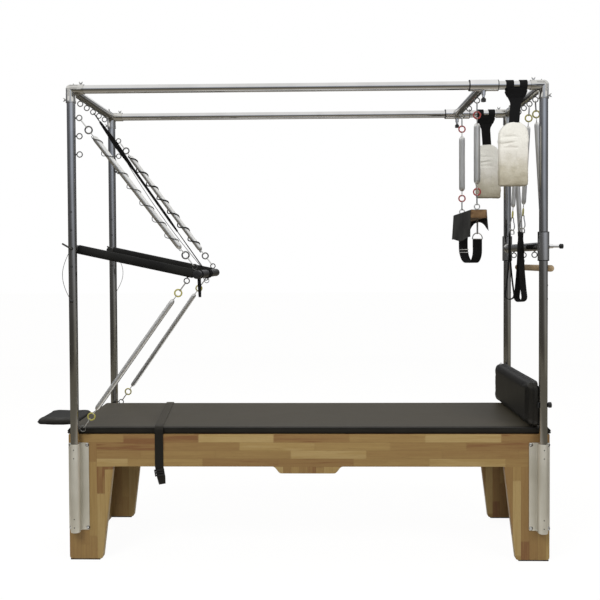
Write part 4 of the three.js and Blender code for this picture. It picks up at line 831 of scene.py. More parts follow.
post_low = socket_low + 3.3
for side_name, side in sides:
    for end_name, end in ends:
        x, y = end * post_x, side * post_y
        bm = bmesh.new()
        rod(bm, (x, y, post_low), (x, y, canopy_z - 25), tube_radius, 0.8, 56)
        # Each hole is a dark rimmed plug: painted shade for the hole's dark inside.
        hole_shade_plugs = bmesh.new()
        if end < 0:
            eyes = bmesh.new()
            for z in post_eye_heights:
                eye(eyes, (x, y, z), (1, 0, 0), tube_radius)
            piece(f"post_eyes_{side_name}", eyes, link_steel, "tube_steel", body="bench_and_canopy")
            for z in (1332, 1494, 1575):
                for way in (-1, 1):
                    turned(hole_shade_plugs, (x, y + way * 18, z), (0, way, 0), [
                        (0, 0), (0, 5.2), (1.5, 5.2), (1.6, 4.7), (0.9, 4.3), (0.9, 0)], 20)
        else:
            for z in (1180, 1240):
                turned(hole_shade_plugs, (x + 18, y, z), (1, 0, 0), [
                    (0, 0), (0, 4.5), (1.5, 4.5), (1.6, 3.9), (0.9, 3.5), (0.9, 0)], 20)
        piece(f"canopy_post_{side_name}_{end_name}", bm, posts_steel_painted_tone, "tube_steel",
              f"post_{side_name}_{end_name}")
        piece(f"post_hole_shade_plugs_{side_name}_{end_name}", hole_shade_plugs, foot_rubber, None,
              body="bench_and_canopy")
    bm = bmesh.new()
    rail_start, rail_stop = (
        (end * (post_x - 25), side * post_y, canopy_z) for _, end in ends)
    rod(bm, rail_start, rail_stop, tube_radius, 0.8, 56)
    piece(f"canopy_rail_{side_name}", bm, rails_steel_painted_lighter, "tube_steel", f"top_rail_{side_name}")

# %% [markdown]
# Three-way corner fittings grip the tubes with wing screws. A ball at the corner and three turned
# sleeves make the fitting, each sleeve with a small lip at its mouth. The wing of a thumb screw is a
# flat butterfly outline, extruded and rounded.

# %% End crossbars with corner fittings and eyes


def wing_screw(bm, root, way, spread):
    root, way, spread = Vector(root), Vector(way), Vector(spread)
    third = way.cross(spread)
    rod(bm, root - way * 2, root + way * 6, 4, 0.6, 16)
    wing = bmesh.new()
    shape = [(-8.5, 14), (-7.2, 15), (-4.6, 13.4), (-2.0, 9.6), (2.0, 9.6), (4.6, 13.4), (7.2, 15),
             (8.5, 14), (6.6, 6.5), (3.2, 3.5), (-3.2, 3.5), (-6.6, 6.5)]
    board(wing, shape, 1, -1.6, 1.6)
    round_edges(wing, 0.5, 2)
    place = Matrix.Translation(root) @ Matrix((spread, third, way)).transposed().to_4x4()
    wing.transform(place)
    spare = bpy.data.meshes.new("wing")
    wing.to_mesh(spare)
    wing.free()
    bm.from_mesh(spare)
    bpy.data.meshes.remove(spare)


sleeve_profile = [(0, 0), (0, 22), (57.5, 22), (58, 22.6), (59.4, 22.6), (60, 22), (60, 19.6), (54, 19.4)]
for end_name, end in ends:
    x = end * post_x
    bm = bmesh.new()
    rod(bm, (x, -post_y, canopy_z), (x, post_y, canopy_z), tube_radius, 0.8, 56)
    for _, side in sides:
        corner = Vector((x, side * post_y, canopy_z))
        bmesh.ops.create_uvsphere(
            bm, u_segments=40, v_segments=20, radius=22, matrix=Matrix.Translation(corner))
        inward, across, down = Vector((-end, 0, 0)), Vector((0, -side, 0)), Vector((0, 0, -1))
        for way in (inward, across, down):
            turned(bm, corner, way, sleeve_profile)
        z_way = Vector((0, 0, 1))
        wing_screw(bm, corner + inward * 45 + z_way * 20, z_way, Vector((1, 0, 0)))
        wing_screw(bm, corner + across * 45 + z_way * 20, z_way, Vector((0, 1, 0)))
        wing_screw(bm, corner + down * 45 - inward * 20, -inward, Vector((0, 0, 1)))
    eyes = bmesh.new()
    for step in range(-2, 3):
        eye(eyes, (x, step * crossbar_eye_pitch, canopy_z), (0, 0, -1), tube_radius)
    piece(f"crossbar_eyes_{end_name}", eyes, link_steel, "tube_steel", body="bench_and_canopy")
    piece(f"canopy_crossbar_{end_name}", bm, crossbars_steel_painted_tone, "tube_steel", f"end_crossbar_{end_name}")

# %% [markdown]
# Two sliders run on the tubes, one along the rails and one up and down the right posts. Each has a
# sleeve on both tubes with a black wear ring at its ends, a crossbar with three eyes, and a spring
# plunger whose pin drops into a hole of the tube. The plunger's knob is knurled so that a thumb and
# finger can pull it, and its pin moves on its own.

# %% Sliders and plungers
sleeve_half = 64.5


def sleeve(bm, rings, middle, run, plunger_way, barrel):
    middle, run, plunger_way = Vector(middle), Vector(run), Vector(plunger_way)
    turned(bm, middle - run * sleeve_half, run, [
        (3.5, 19.4), (3.5, 24.6), (4.0, 25), (125, 25), (125.5, 24.6), (125.5, 19.4), (3.5, 19.4)], 48)
    for way in (-1, 1):
        turned(rings, middle + run * way * (sleeve_half - 3.6), run * way, [
            (0, 19.35), (0, 25), (3, 25), (3.6, 24.2), (3.6, 19.35), (0, 19.35)], 48)
    turned(bm, middle, plunger_way, [
        (24, 4.6), (24, 11), (27, 11), (27.5, 9), (40, 9), (40.5, 8.4), (42.6, 8.4), (43, 7.8), (43, 6.2),
        (40 + barrel, 6.2), (40.6 + barrel, 5.6), (40.6 + barrel, 4.3), (24, 4.6)], 24)


def knurled_knob(bm, centre, way, gap):
    centre, way = Vector(centre), Vector(way).normalized()
    start = 43 + gap
    rod(bm, centre + way * 19.6, centre + way * (start + 1), 4, 0.3, 20)
    profile = [(start, 0), (start, 7.5), (start + 2, 8)]
    for groove in range(4):
        near = start + 3 + groove * 3
        profile += [(near, 10.4), (near + 0.8, 11), (near + 1.8, 11), (near + 2.4, 10.4)]
    profile += [(start + 15.6, 10.6), (start + 17, 9), (start + 17, 0)]
    turned(bm, centre, way, profile, 28)


slider_x, end_slider_z = 782, 1412
sliders = [
    ("top_slider", (slider_x, 0, canopy_z), (1, 0, 0), (0, 0, -1), 12, "top_plunger"),
    ("end_slider", (post_x, 0, end_slider_z), (0, 0, 1), (1, 0, 0), 26, "end_plunger"),
]
for name, centre, run, plunger_way, gap, plunger_name in sliders:
    bm, rings, sleeves = bmesh.new(), bmesh.new(), bmesh.new()
    x, _, z = centre
    rod(bm, (x, -post_y + 22, z), (x, post_y - 22, z), tube_radius, 0.8, 56)
    for side_name, side in sides:
        middle = (x, side * post_y, z)
        sleeve(sleeves, rings, middle, run, plunger_way, gap)
        turned(bm, (x, side * (post_y - 44), z), (0, side, 0), [
            (0, 19), (0, 20.6), (0.8, 21.4), (14, 21.6), (20, 24), (20, 19)], 48)
        knob = bmesh.new()
        knurled_knob(knob, middle, plunger_way, gap)
        piece(f"{plunger_name}_knob_{side_name}", knob, black_plastic, "knob_plastic",
              f"{plunger_name}_{side_name}")
    eyes = bmesh.new()
    for step in (-1, 0, 1):
        eye(eyes, (x, step * slider_eye_pitch, z), (0, 0, -1), tube_radius)
    piece(f"{name}_eyes", eyes, link_steel, "tube_steel", body=home[name])
    piece(f"{name}_frame", bm, crossbars_steel_painted_tone, "tube_steel", name)
    piece(f"{name}_sleeves", sleeves, sleeves_steel_painted_lighter, "tube_steel", body=home[name])
    piece(f"{name}_wear_rings", rings, black_plastic, "knob_plastic", body=home[name])

# %% [markdown]
# The push-through bar is a pewter-coloured crossbar on two arms that swing on pull pins between the
# left posts. Foam sleeves pad the arms. Its crossbar ends in black domed caps, and wire eyes take the
# four springs that push it up or pull it down.

# %% Push-through bar
bm, caps = bmesh.new(), bmesh.new()
cross_mid = bar_pivot + arm_way * arm_length
rod(bm, cross_mid - Vector((0, 331, 0)), cross_mid + Vector((0, 331, 0)), tube_radius, 0.6, 56)
hub_out, hub_long = post_y - tube_radius - clearance, 48
for side_name, side in sides:
    rod(bm, on_arm(side, 6), on_arm(side, arm_length), 15, 0.4, 40)
    hub_start = Vector((-post_x, side * (hub_out - hub_long), pivot_z))
    turned(bm, hub_start, (0, side, 0), [
        (0, 6.4), (0, 16), (1, 17), (47, 17), (48, 16), (48, 6.4), (0, 6.4)], 40)
    eye(bm, on_arm(side, arm_length), top_eye_way, tube_radius)
    low_root = on_arm(side, arm_length - lower_eye_back)
    eye(bm, low_root, arm_under, cover_radius)
    rod(bm, low_root, low_root + arm_under * 20, eye_wire, 0.2, 12)
    turned(caps, cross_mid + Vector((0, side * 322, 0)), (0, side, 0), [
        (0, 19.05), (0, 19.7), (7.5, 19.7), (9.4, 18.6), (10.6, 15), (11, 9), (11, 0)], 40)
piece("push_bar_frame", bm, pewter, "bar_steel", "push_through_bar")
piece("push_bar_end_caps", caps, black_plastic, "knob_plastic", body="push_bar")
for side_name, side in sides:
    bm = bmesh.new()
    turned(bm, on_arm(side, 12), arm_way, [
        (0, 15.4), (0, 18.5), (2, 20.3), (4, 20.5), (529, 20.5), (533, 20.2), (535, 18), (535, 15.4),
        (0, 15.4)], 40)
    piece(f"foam_arm_{side_name}", bm, grip_foam, "foam_grip", f"arm_cover_{side_name}")
print("push-through bar reaches x", round(cross_mid.x), "z", round(cross_mid.z))

# %% [markdown]
# A pull pin pivots each arm: a steel shank, a collar and a bent handle. The lanyard made above hangs
# from the handle's root to a small clip on the post.

# %% Pull pins
for side_name, side in sides:
    bm = bmesh.new()
    out = post_y + tube_radius + clearance
    rod(bm, (-post_x, side * (hub_out - hub_long), pivot_z), (-post_x, side * (out + pin_collar), pivot_z),
        6, 0.8, 24)
    turned(bm, (-post_x, side * out, pivot_z), (0, side, 0), [
        (0, 5), (0, 8.6), (0.5, 9), (5.2, 9), (6, 8.2), (6, 5)], 28)
    lean = math.radians(30)
    handle_way = Vector((-math.cos(lean), 0, math.sin(lean)))
    root = Vector((-post_x, side * (out + pin_collar + handle_radius), pivot_z)) - handle_way * 6
    rod(bm, root, root + handle_way * 50, 4, 1.5, 20)
    band = root + handle_way * 6
    rod(bm, band + Vector((0, -side * 4, 0)), band + Vector((0, side * 3, 0)), 4.6, 0.8, 20)
    clip = Vector((-post_x, side * (out + 4.5), pivot_z - handle_radius - pin_lanyard_drop))
    wide = sorted((side * out, side * (out + 11)))
    block(bm, (-post_x - 6.5, wide[0], clip.z - 6.5), (-post_x + 6.5, wide[1], clip.z + 6.5))
    round_edges(bm, 1.2, 2, 60)
    piece(f"pull_pin_{side_name}", bm, pin_steel, "pin_steel", f"pivot_pin_{side_name}")

# %% [markdown]
# Every spring is one close-wound wire: its coils touch, and both ends narrow to a neck that holds a
# coated ring. A hook joins each ring to its eye. A helix with a radius that eases in at both ends is
# drawn as points, and a round section runs along it. The colour of a ring tells the spring's
# strength.

# %% Springs
ring_radius, ring_wire = 15.6, 3.5
neck, snap_reach, carabiner_reach = 37, 67, 87
coil_points = 11
eye_bend, ring_bend = 5.1, 4.4


def close_coil(bm, start, end, width):
    wire_radius = 1.35
    pitch = 2 * wire_radius * 1.03
    turns = (end - start) / pitch
    steps = int(turns * coil_points)
    mean = width / 2 - wire_radius

    def swell(reach):
        near = min(reach, end - start - reach)
        return 3.2 + (mean - 3.2) * math.sin(min(1, near / 16) * math.pi / 2) ** 0.6

    points = []
    for step in range(steps + 1):
        reach = (end - start) * step / steps
        turn = math.tau * turns * step / steps
        points.append((swell(reach) * math.cos(turn), swell(reach) * math.sin(turn), start + reach))
    wire(bm, points, wire_radius, round_steps=1)
    near_ends = [0.5, 1.5, 3, 5, 8, 12, 16, 24]
    reaches = near_ends + [end - start - reach for reach in reversed(near_ends)]
    profile = [(reach, swell(reach) + 1.0) for reach in reaches]
    turned(bm, (0, 0, start), (0, 0, 1), [(0.5, 0), *profile, (reaches[-1], 0)], 32)


def snap_hook(bm, eye_z, ring_z):
    way = 1 if ring_z > eye_z else -1
    y, z = Vector((0, 1, 0)), Vector((0, 0, 1))
    path = arc(z * eye_z, -y, -z * way, eye_bend, 0, 180, 10)
    path += arc(z * ring_z, y, z * way, ring_bend, 0, 180, 10)
    wire(bm, path, 2.0, closed=True)
    low, high = sorted((eye_z + way * 3, ring_z - way * 4))
    rod(bm, z * low + y * 3.2, z * high + y * 2.6, 2.9, 0.8, 16)


def carabiner(bm, eye_z, ring_z):
    wide, z, y = 12.0, Vector((0, 0, 1)), Vector((0.92, 0.39, 0))
    low = z * (eye_z - 11 + eye_bend)
    path = [z * ring_z + y * -4.2, z * (ring_z - ring_bend), z * ring_z + y * 4.2]
    path += [z * (ring_z + 14) + y * 6, z * (low.z - 12) + y * wide, low + y * wide * 0.92,
             low + y * wide * 0.5 + z * 7.4, low + z * 9.8, low - y * wide * 0.5 + z * 7.4,
             low - y * wide * 0.92, z * (low.z - 12) - y * wide, z * (ring_z + 14) - y * 6]
    wire(bm, path, 2.5, closed=True, smooth=True)


def spring(name, ends_of, width, ring_finish, node, low_reach=snap_reach, low_hook="snap", flow=None,
           low_facing=(0, 1, 0)):
    start, end = ends_of
    local = spring_frame(start, end)
    length = (end - start).length
    top_ring, low_ring_z = snap_reach, length - low_reach
    coil_start, coil_end = top_ring + neck, low_ring_z - neck
    bm = bmesh.new()
    close_coil(bm, coil_start, coil_end, width)
    rod(bm, (0, 0, top_ring + ring_radius - 1), (0, 0, coil_start + 4), 2.2, 0.4, 12)
    rod(bm, (0, 0, coil_end - 4), (0, 0, low_ring_z - ring_radius + 1), 2.2, 0.4, 12)
    for place in (top_ring + ring_radius, low_ring_z - ring_radius):
        ring(bm, (0, 0, place), ring_bend, 1.7, (1, 0, 0), 20, 8)
    bm.transform(local)
    piece(f"{name}_coil", bm, spring_wire, "spring_steel", node, flow=flow, sharp=70)
    bm = bmesh.new()
    snap_hook(bm, eye_radius, top_ring - ring_radius)
    if low_hook == "snap":
        snap_hook(bm, length - eye_radius, low_ring_z + ring_radius)
    else:
        carabiner(bm, length - eye_radius, low_ring_z + ring_radius)
    bm.transform(local)
    body = None if flow else home[node]
    piece(f"{name}_hooks", bm, bright_steel, "spring_steel", flow=flow, body=body)
    bm = bmesh.new()
    ring(bm, (0, 0, top_ring), ring_radius, ring_wire, (0, 1, 0), 48, 12)
    ring(bm, (0, 0, low_ring_z), ring_radius, ring_wire, low_facing, 48, 12)
    bm.transform(local)
    piece(f"{name}_rings", bm, ring_finish, None, flow=flow, body=body)


down = Vector((0, 0, -1))
board_top, board_low = 1581, 1544
loop_ring_z = 1490
for side_name, side in sides:
    spring(f"upper_push_{side_name}", upper_ends[side], 26, link_steel,
           f"push_spring_upper_{side_name}", flow=upper_ends[side])
    low_start, low_end = lower_ends[side]
    spring(f"lower_push_{side_name}", lower_ends[side], 23, yellow_coat,
           f"push_spring_lower_{side_name}", flow=(low_end, low_start))
    slider_eye = eye_centre((slider_x, side * slider_eye_pitch, canopy_z), down, tube_radius)
    board_eye = eye_centre(
        (slider_x, side * slider_eye_pitch, board_top - eye_wire), (0, 0, 1), eye_wire)
    spring(f"trapeze_{side_name}", (slider_eye, board_eye), 30, red_coat, f"trapeze_spring_{side_name}")
    crossbar_eye = eye_centre((post_x, side * crossbar_eye_pitch, canopy_z), down, tube_radius)
    foot_ring = Vector((post_x - 34, side * crossbar_eye_pitch, loop_ring_z))
    spring(f"foot_{side_name}", (crossbar_eye, foot_ring), 22, yellow_coat, f"foot_spring_{side_name}",
           carabiner_reach, "carabiner", low_facing=(0.95, 0.3, 0))
roll_axis, roll_eye_y, dowel_radius = Vector((post_x + 45, 0, 1314)), 2 * crossbar_eye_pitch, 15
roll_eye = eye_centre((post_x, roll_eye_y, canopy_z), down, tube_radius)
roll_way = Vector((roll_eye.x - roll_axis.x, 0, roll_eye.z - roll_axis.z)).normalized()
for side_name, side in sides:
    top = eye_centre((post_x, side * roll_eye_y, canopy_z), down, tube_radius)
    low = eye_centre((roll_axis.x, side * roll_eye_y, roll_axis.z), roll_way, dowel_radius)
    spring(f"roll_{side_name}", (top, low), 24, yellow_coat, f"roll_spring_{side_name}")
print("coil points a turn:", coil_points)

# %% [markdown]
# The safety strap catches the push-through bar if both upper springs fail. It is a flat band that
# twists a quarter turn: at the top its face shows, and lower down only its edge. Below it, two
# narrow tapes run on to a loop round the crossbar, and a third one hangs slack beside the strap.

# %% Safety strap and the small ties on the crossbar
strap_top = eye_centre((-post_x, 0, canopy_z), down, tube_radius)
strap_low = Vector((cross_mid.x, 0, cross_mid.z))
band_start, band_end, strap_steps, tie_y = 58, 0.74, 30, -265
run = strap_low - strap_top
run_way = run.normalized()
flat_way = Vector((0, 1, 0)).cross(run_way).normalized()
bm = bmesh.new()
path, ways, widths = [], [], []
for step in range(strap_steps + 1):
    share = step / strap_steps
    reach = band_start + (run.length * band_end - band_start) * share
    twist = math.radians(38 + 28 * min(1, max(0, (share - 0.2) / 0.25)))
    path.append(strap_top + run_way * reach)
    ways.append(flat_way * math.cos(twist) + Vector((0, 1, 0)) * math.sin(twist))
    widths.append(12 + 20 * min(1, share / 0.2) - 14 * max(0, (share - 0.9) / 0.1))
strap(bm, path, ways, widths, 3.2, 3)
tape_start = strap_top + run_way * (run.length * 0.73)
for offset in (-5, 5):
    tape = [tape_start.lerp(strap_low - run_way * 21, step / 12) + Vector((0, offset * (1 + step / 8), 0))
            for step in range(13)]
    strap(bm, tape, (0, 1, 0), 5, 2.2)
slack = [strap_top + run_way * run.length * (0.26 + 0.71 * step / 24) + flat_way * (
    17 * math.sin(math.pi * step / 24) ** 0.8 + 2) for step in range(25)]
strap(bm, slack, (0, 1, 0), 4.5, 2.2)
loop = arc(strap_low, -run_way, flat_way, 21.3, -20, 340, 32)
strap(bm, loop, (0, 1, 0), 28, 2.6)
wire(bm, arc(strap_top + run_way * 12, -Vector((0, 1, 0)), -run_way, 5.1, 0, 180, 8) + arc(
    strap_top + run_way * 60, Vector((0, 1, 0)), run_way, 5.1, 0, 180, 8), 2.0, closed=True)
piece("catch_strap", bm, webbing, "black_webbing", "safety_strap", flow=(strap_top, strap_low), sharp=50)
bm = bmesh.new()
for along, tilt in ((-34, 6), (-28, -5), (40, 8)):
    centre = cross_mid + Vector((0, along, 0))
    ring(bm, centre, 21.4, 2.2, (math.sin(math.radians(tilt)), 1, 0), 36, 8)
ring(bm, cross_mid + Vector((2, -30, -34)), 11, 1.4, (0, 1, 0), 32, 8)
hang = [cross_mid + Vector((1, tie_y, -19)) + Vector((3 * step / 10, 0, -85 * step / 10))
        for step in range(11)]
strap(bm, hang, Vector((0.97, 0.25, 0)), [16 - 7 * max(0, step / 10 - 0.45) for step in range(11)], 2.4)
strap(bm, arc(cross_mid + Vector((0, tie_y, 0)), (0, 0, 1), (1, 0, 0), 20.6, 0, 360, 28), (0, 1, 0), 15, 2.4)
piece("crossbar_ties", bm, webbing, "black_webbing", body="push_bar", sharp=50)

# %% [markdown]
# The trapeze is a beech board that a person sits or hooks their knees on. Two wire eyes take its
# springs. A suede hide lies over it to save the skin, and its flaps hang down either side. A webbing
# sling hangs below, from hooks and D-rings.

# %% Trapeze board
bm = bmesh.new()
board(bm, rounded_outline(slider_x - 36, slider_x + 36, board_low, board_top, 4, 4, 3), 1, -245, 245)
round_edges(bm, 1.5, 2, 60)
piece("trapeze_plank", bm, board_wood, "board_wood", "trapeze_board")
bm = bmesh.new()
for _, side in sides:
    y = side * slider_eye_pitch
    eye(bm, (slider_x, y, board_top - eye_wire), (0, 0, 1), eye_wire)
    rod(bm, (slider_x, y, board_top - 0.5), (slider_x, y, board_top + 1.6), 9, 0.6, 32)
piece("trapeze_eyes", bm, spring_wire, "spring_steel", body="trapeze")

# %% [markdown]
# The hide is one sheet, so it starts as a flat grid. Each row of the grid is laid over the board: flat
# on top, round the two edges and down the sides. The flaps swing out a little and wave along their
# length, more towards the free edge, and are cut longer at the board's ends than in the middle.

# %% Hide cover
bm = bmesh.new()
uv = bm.loops.layers.uv.verify()
cover_half = 237
made = bmesh.ops.create_grid(bm, x_segments=96, y_segments=110, size=0.5)["verts"]
edge_x, corner, eye_hole = 37.9, 5.0, 6.5


def lay_over_board(share_across, share_along):
    y = share_along * 2 * cover_half
    side = 1 if share_across >= 0 else -1
    if side < 0:
        flap = 124 + 9 * math.cos(y / 75) + 5 * abs(share_along) * 2
    else:
        flap = 44 + 48 * (abs(share_along) * 2) ** 2.4
    reach = abs(share_across) * 2 * (edge_x + corner * (math.pi / 2 - 1) + flap)
    flat = edge_x - corner
    top = board_top + 0.6 + 1.4
    if reach <= flat:
        return Vector((side * reach, y, top))
    bend_reach = corner * math.pi / 2
    if reach <= flat + bend_reach:
        angle = (reach - flat) / corner
        return Vector((side * (flat + math.sin(angle) * corner), y, top - corner + math.cos(angle) * corner))
    drop = reach - flat - bend_reach
    free = drop / 118
    wave = (math.sin(y / 46 + side * 1.3) * 3.2 + math.sin(y / 21) * 1.1) * free ** 1.4
    spread = y * (1 + 0.05 * free) - 6 * free * free
    return Vector((side * (edge_x + 3.4 * free) + abs(wave) * side, spread, top - corner - drop))


for vertex in made:
    vertex.co = lay_over_board(vertex.co.x, vertex.co.y) + Vector((slider_x, 0, 0))
for vertex in [v for v in bm.verts if abs(abs(v.co.y) - slider_eye_pitch) < eye_hole
               and abs(v.co.x - slider_x) < eye_hole and v.co.z > board_top]:
    bm.verts.remove(vertex)
hide_area = sum(face.calc_area() for face in bm.faces) / 1e6
bmesh.ops.recalc_face_normals(bm, faces=bm.faces)
bmesh.ops.solidify(bm, geom=bm.faces[:], thickness=1.8)
hide = piece("hide_over_board", bm, hide_cover, "hide_cover", "trapeze_cover", sharp=60)
print("hide area", round(hide_area, 4), "square metres")

# %% Trapeze sling
bm, fittings = bmesh.new(), bmesh.new()
branch = 86.5
sling_path = [Vector((slider_x, -branch, 1452))]
sling_path += [Vector((slider_x, -branch, z)) for z in (1440, 1425, 1412)]
sling_path += arc((slider_x, -branch + 58.5, 1399), (0, -1, 0), (0, 0, -1), 58.5, 0, 90, 9)
sling_path += arc((slider_x, branch - 82, 1422.5), (0, 0, -1), (0, 1, 0), 82, 0, 90, 12)
sling_path += [Vector((slider_x, branch, z)) for z in (1440, 1470, 1500, 1530, 1543)]
strap(bm, sling_path, (1, 0, 0), 46, 2.8, 4)
patch = [Vector((slider_x, -branch + 3, z)) for z in (1450, 1435, 1415)]
strap(bm, patch, (1, 0, 0), 45, 2.4, 2)
patch = [Vector((slider_x, branch - 3, z)) for z in (1541, 1500, 1455)]
strap(bm, patch, (1, 0, 0), 45, 2.4, 2)
strap(bm, [Vector((slider_x, y, 1542)) for y in (branch - 40, branch - 15, branch)], (1, 0, 0), 45, 2.6, 2)
sling_turn = (Matrix.Translation((slider_x + 5, 0, 0)) @ Matrix.Rotation(math.radians(12.5), 4, "Z")
              @ Matrix.Translation((-slider_x, 0, 0)))
bm.transform(sling_turn)
piece("webbing_sling", bm, webbing, "black_webbing", "trapeze_sling", sharp=50)
for y, z in ((79.0, 1390), (81.6, 1404)):
    rod(fittings, (slider_x - 25, y, z), (slider_x + 25, y, z), 2.6, 0.6, 12)
d_ring = [Vector((slider_x - 25, -branch, 1453)), Vector((slider_x + 25, -branch, 1453))]
d_ring += arc((slider_x, -branch, 1456), (1, 0, 0), (0, 0, 1), 24.5, 0, 180, 14)
wire(fittings, d_ring, 2.6, closed=True)
wire(fittings, arc((slider_x, -branch, 1482), (0, -1, 0), (0, 0, -1), 5.2, 0, 180, 8) + arc(
    (slider_x, -branch, 1524), (0, 1, 0), (0, 0, 1), 5.2, 0, 180, 8), 2.2, closed=True)
ring(fittings, (slider_x, -branch, 1535), 8, 2.6, (1, 0, 0), 28, 10)
fittings.transform(sling_turn)
piece("sling_fittings", fittings, spring_wire, "spring_steel", body="trapeze")

# %% [markdown]
# The fleece straps are for the feet or the head: a webbing yoke loops over the rail with two legs,
# narrows to a neck, and ends in a thick lambswool pad. The wool's pile is deep enough to need real
# relief, so a voxel remesh gives even faces and noise lifts each point into curls. The pad sits a
# little lower in three creases, where it has been folded in use. The straps don't hang quite true.

# %% Yokes of the fleece straps
fleece_x = 925
drift_steps = {-1: (-1, -8, -5), 1: (6, 5, 9)}


def drift(side, z):
    whole, neck_shift, pad_shift = drift_steps[side]
    return (whole + neck_shift * min(1, max(0, (2060 - z) / 90))
            + pad_shift * min(1, max(0, (1985 - z) / 130)))


for side_name, side in sides:
    y = side * post_y
    bm = bmesh.new()
    for leg in (-29.5, 29.5):
        loop = [Vector((fleece_x + leg * 0.9, y - 3, 2078)), Vector((fleece_x + leg * 0.96, y - 12, 2096))]
        loop += arc((fleece_x + leg, y, canopy_z), (0, 1, 0), (0, 0, 1), 21.3, 205, -25, 18)
        loop += [Vector((fleece_x + leg * 0.96, y + 12, 2096)), Vector((fleece_x + leg * 0.9, y + 3, 2078))]
        strap(bm, loop, (1, 0, 0), 33, 2.6, 3)
    for way in (-1, 1):
        plate = [Vector((fleece_x, y + way * out, z)) for out, z in (
            (20.6, 2106), (19, 2100), (15, 2093), (9, 2084), (3.5, 2068))]
        strap(bm, plate, (1, 0, 0), [38, 78, 93, 90, 77], 2.6, 4)
    outline = [(fleece_x - 45.8, 2098), (fleece_x - 44.6, 2090), (fleece_x - 36, 2066), (fleece_x - 25, 2046),
               (fleece_x - 23, 2036), (fleece_x - 22.5, 1944), (fleece_x + 22.5, 1944),
               (fleece_x + 23, 2036), (fleece_x + 25, 2046), (fleece_x + 36, 2066),
               (fleece_x + 44.6, 2090), (fleece_x + 45.8, 2098), (fleece_x + 13, 2098), (fleece_x + 6, 2080),
               (fleece_x, 2074), (fleece_x - 6, 2080), (fleece_x - 13, 2098)]
    board(bm, outline, 1, y - 2.8, y + 2.8)
    for vertex in bm.verts:
        vertex.co.x += drift(side, vertex.co.z)
    piece(f"webbing_yoke_{side_name}", bm, webbing, "black_webbing", f"fleece_strap_{side_name}",
          sharp=45)

# %% [markdown]
# Padded pieces swell under their covers. The recipe is the same for each: a slightly smaller body is
# remeshed into even squares, blown up gently as cloth with its resting face held still, and no point
# may move further than a few millimetres. Held points are in a vertex group that the cloth pins.

# %% Remesh and blow-up helpers
cloth_frames = 20


def apply_modifiers(made):
    bpy.context.view_layer.update()
    grown = made.evaluated_get(bpy.context.evaluated_depsgraph_get())
    mesh = bpy.data.meshes.new_from_object(grown)
    made.modifiers.clear()
    old, made.data = made.data, mesh
    bpy.data.meshes.remove(old)
    mesh.shade_smooth()


def remesh(made, voxel):
    step = made.modifiers.new("even_faces", "REMESH")
    step.mode = "VOXEL"
    step.voxel_size = voxel
    apply_modifiers(made)


def blow_up(made, pressure, cap, is_held):
    start = [vertex.co.copy() for vertex in made.data.vertices]
    held = made.vertex_groups.new(name="held")
    held.add([i for i, place in enumerate(start) if is_held(place)], 1.0, "REPLACE")
    cloth = made.modifiers.new("cover", "CLOTH")
    cloth.settings.use_pressure = True
    cloth.settings.uniform_pressure_force = pressure
    cloth.settings.effector_weights.gravity = 0
    cloth.settings.vertex_group_mass = "held"
    cloth.settings.quality = 4
    cloth.point_cache.frame_start, cloth.point_cache.frame_end = 1, cloth_frames
    for frame_number in range(1, cloth_frames + 1):
        bpy.context.scene.frame_set(frame_number)
    grown = made.evaluated_get(bpy.context.evaluated_depsgraph_get())
    ends_at = [vertex.co.copy() for vertex in grown.data.vertices]
    made.modifiers.clear()
    bpy.context.scene.frame_set(1)
    moved = 0
    for vertex, here, there in zip(made.data.vertices, start, ends_at):
        step = there - here
        if step.length > cap:
            step = step.normalized() * cap
        vertex.co = here + step
        moved = max(moved, step.length)
    made.vertex_groups.clear()
    print(made.name, "swelled by up to", round(moved * 1000, 1), "mm")
    made.data.shade_smooth()


# %% Lambswool pads
creases = ((1889, -0.05, -18, 4.5), (1866, 0.08, -20, 7.0), (1842, -0.06, -16, 5.0))
for side_name, side in sides:
    y = side * post_y
    bm = bmesh.new()
    outline = rounded_outline(fleece_x - 63, fleece_x + 63, 1677, 1956, 10, 56, 8)
    board(bm, outline, 1, y - 19, y + 19)
    round_edges(bm, 12, 4, 60)
    for vertex in bm.verts:
        vertex.co.x += drift(side, vertex.co.z)
    pad = piece(f"lambswool_pad_{side_name}", bm, wool, "fleece", body=f"hanging_strap_{side_name}",
                sharp=180)
    remesh(pad, 0.0028)
    for vertex in pad.data.vertices:
        place, out = vertex.co, vertex.normal
        z = place.z * 1000
        u = (place.x - bench_middle) * 1000 - fleece_x - drift(side, z)
        curls = noise.noise(place * 170 + Vector((side * 7, 0, 0))) * 1.7 + noise.noise(place * 420) * 0.8
        lumps = noise.noise(place * 32 + Vector((0, side * 3, 0))) * 3.2
        folds = 0.0
        for crease, tilt, middle, depth in creases:
            away = (z - crease - tilt * u - 2.5 * math.cos(u / 19)) / (5.0 + 0.05 * abs(u))
            across = (u - middle) / 34
            folds -= depth * math.exp(-away * away - across ** 4)
        upright = (u - 14 - (z - 1780) * 0.08) / 6
        folds -= 2.6 * math.exp(-upright * upright - ((z - 1785) / 55) ** 4)
        bulge = 4.5 * math.exp(-((z - 1874) / 11) ** 2) + 3.0 * math.exp(-((z - 1925) / 25) ** 2)
        belly = 2.0 * math.sin((z - 1679) / 277 * math.pi)
        facing = abs(out.y) ** 0.5
        vertex.co = place + out * 0.001 * (curls + lumps + (folds + bulge + belly) * facing)
    pad.data.update()

# %% [markdown]
# The mattress is a firm foam slab with a drawn-in cover; the footboard pad stands at the right end
# behind two bolts, and a small head pad hangs off the left end. Each gets a welt, the thin piped seam
# where the top panel of the cover meets its side, and the back of the footboard is a plain board. The
# mattress slopes off at its ends, and the footboard's upper rear corners are hollowed, so that the end
# slider's sleeves have room at their lowest place.

# %% Mattress, footboard pad and head pad
side_cuts = 14


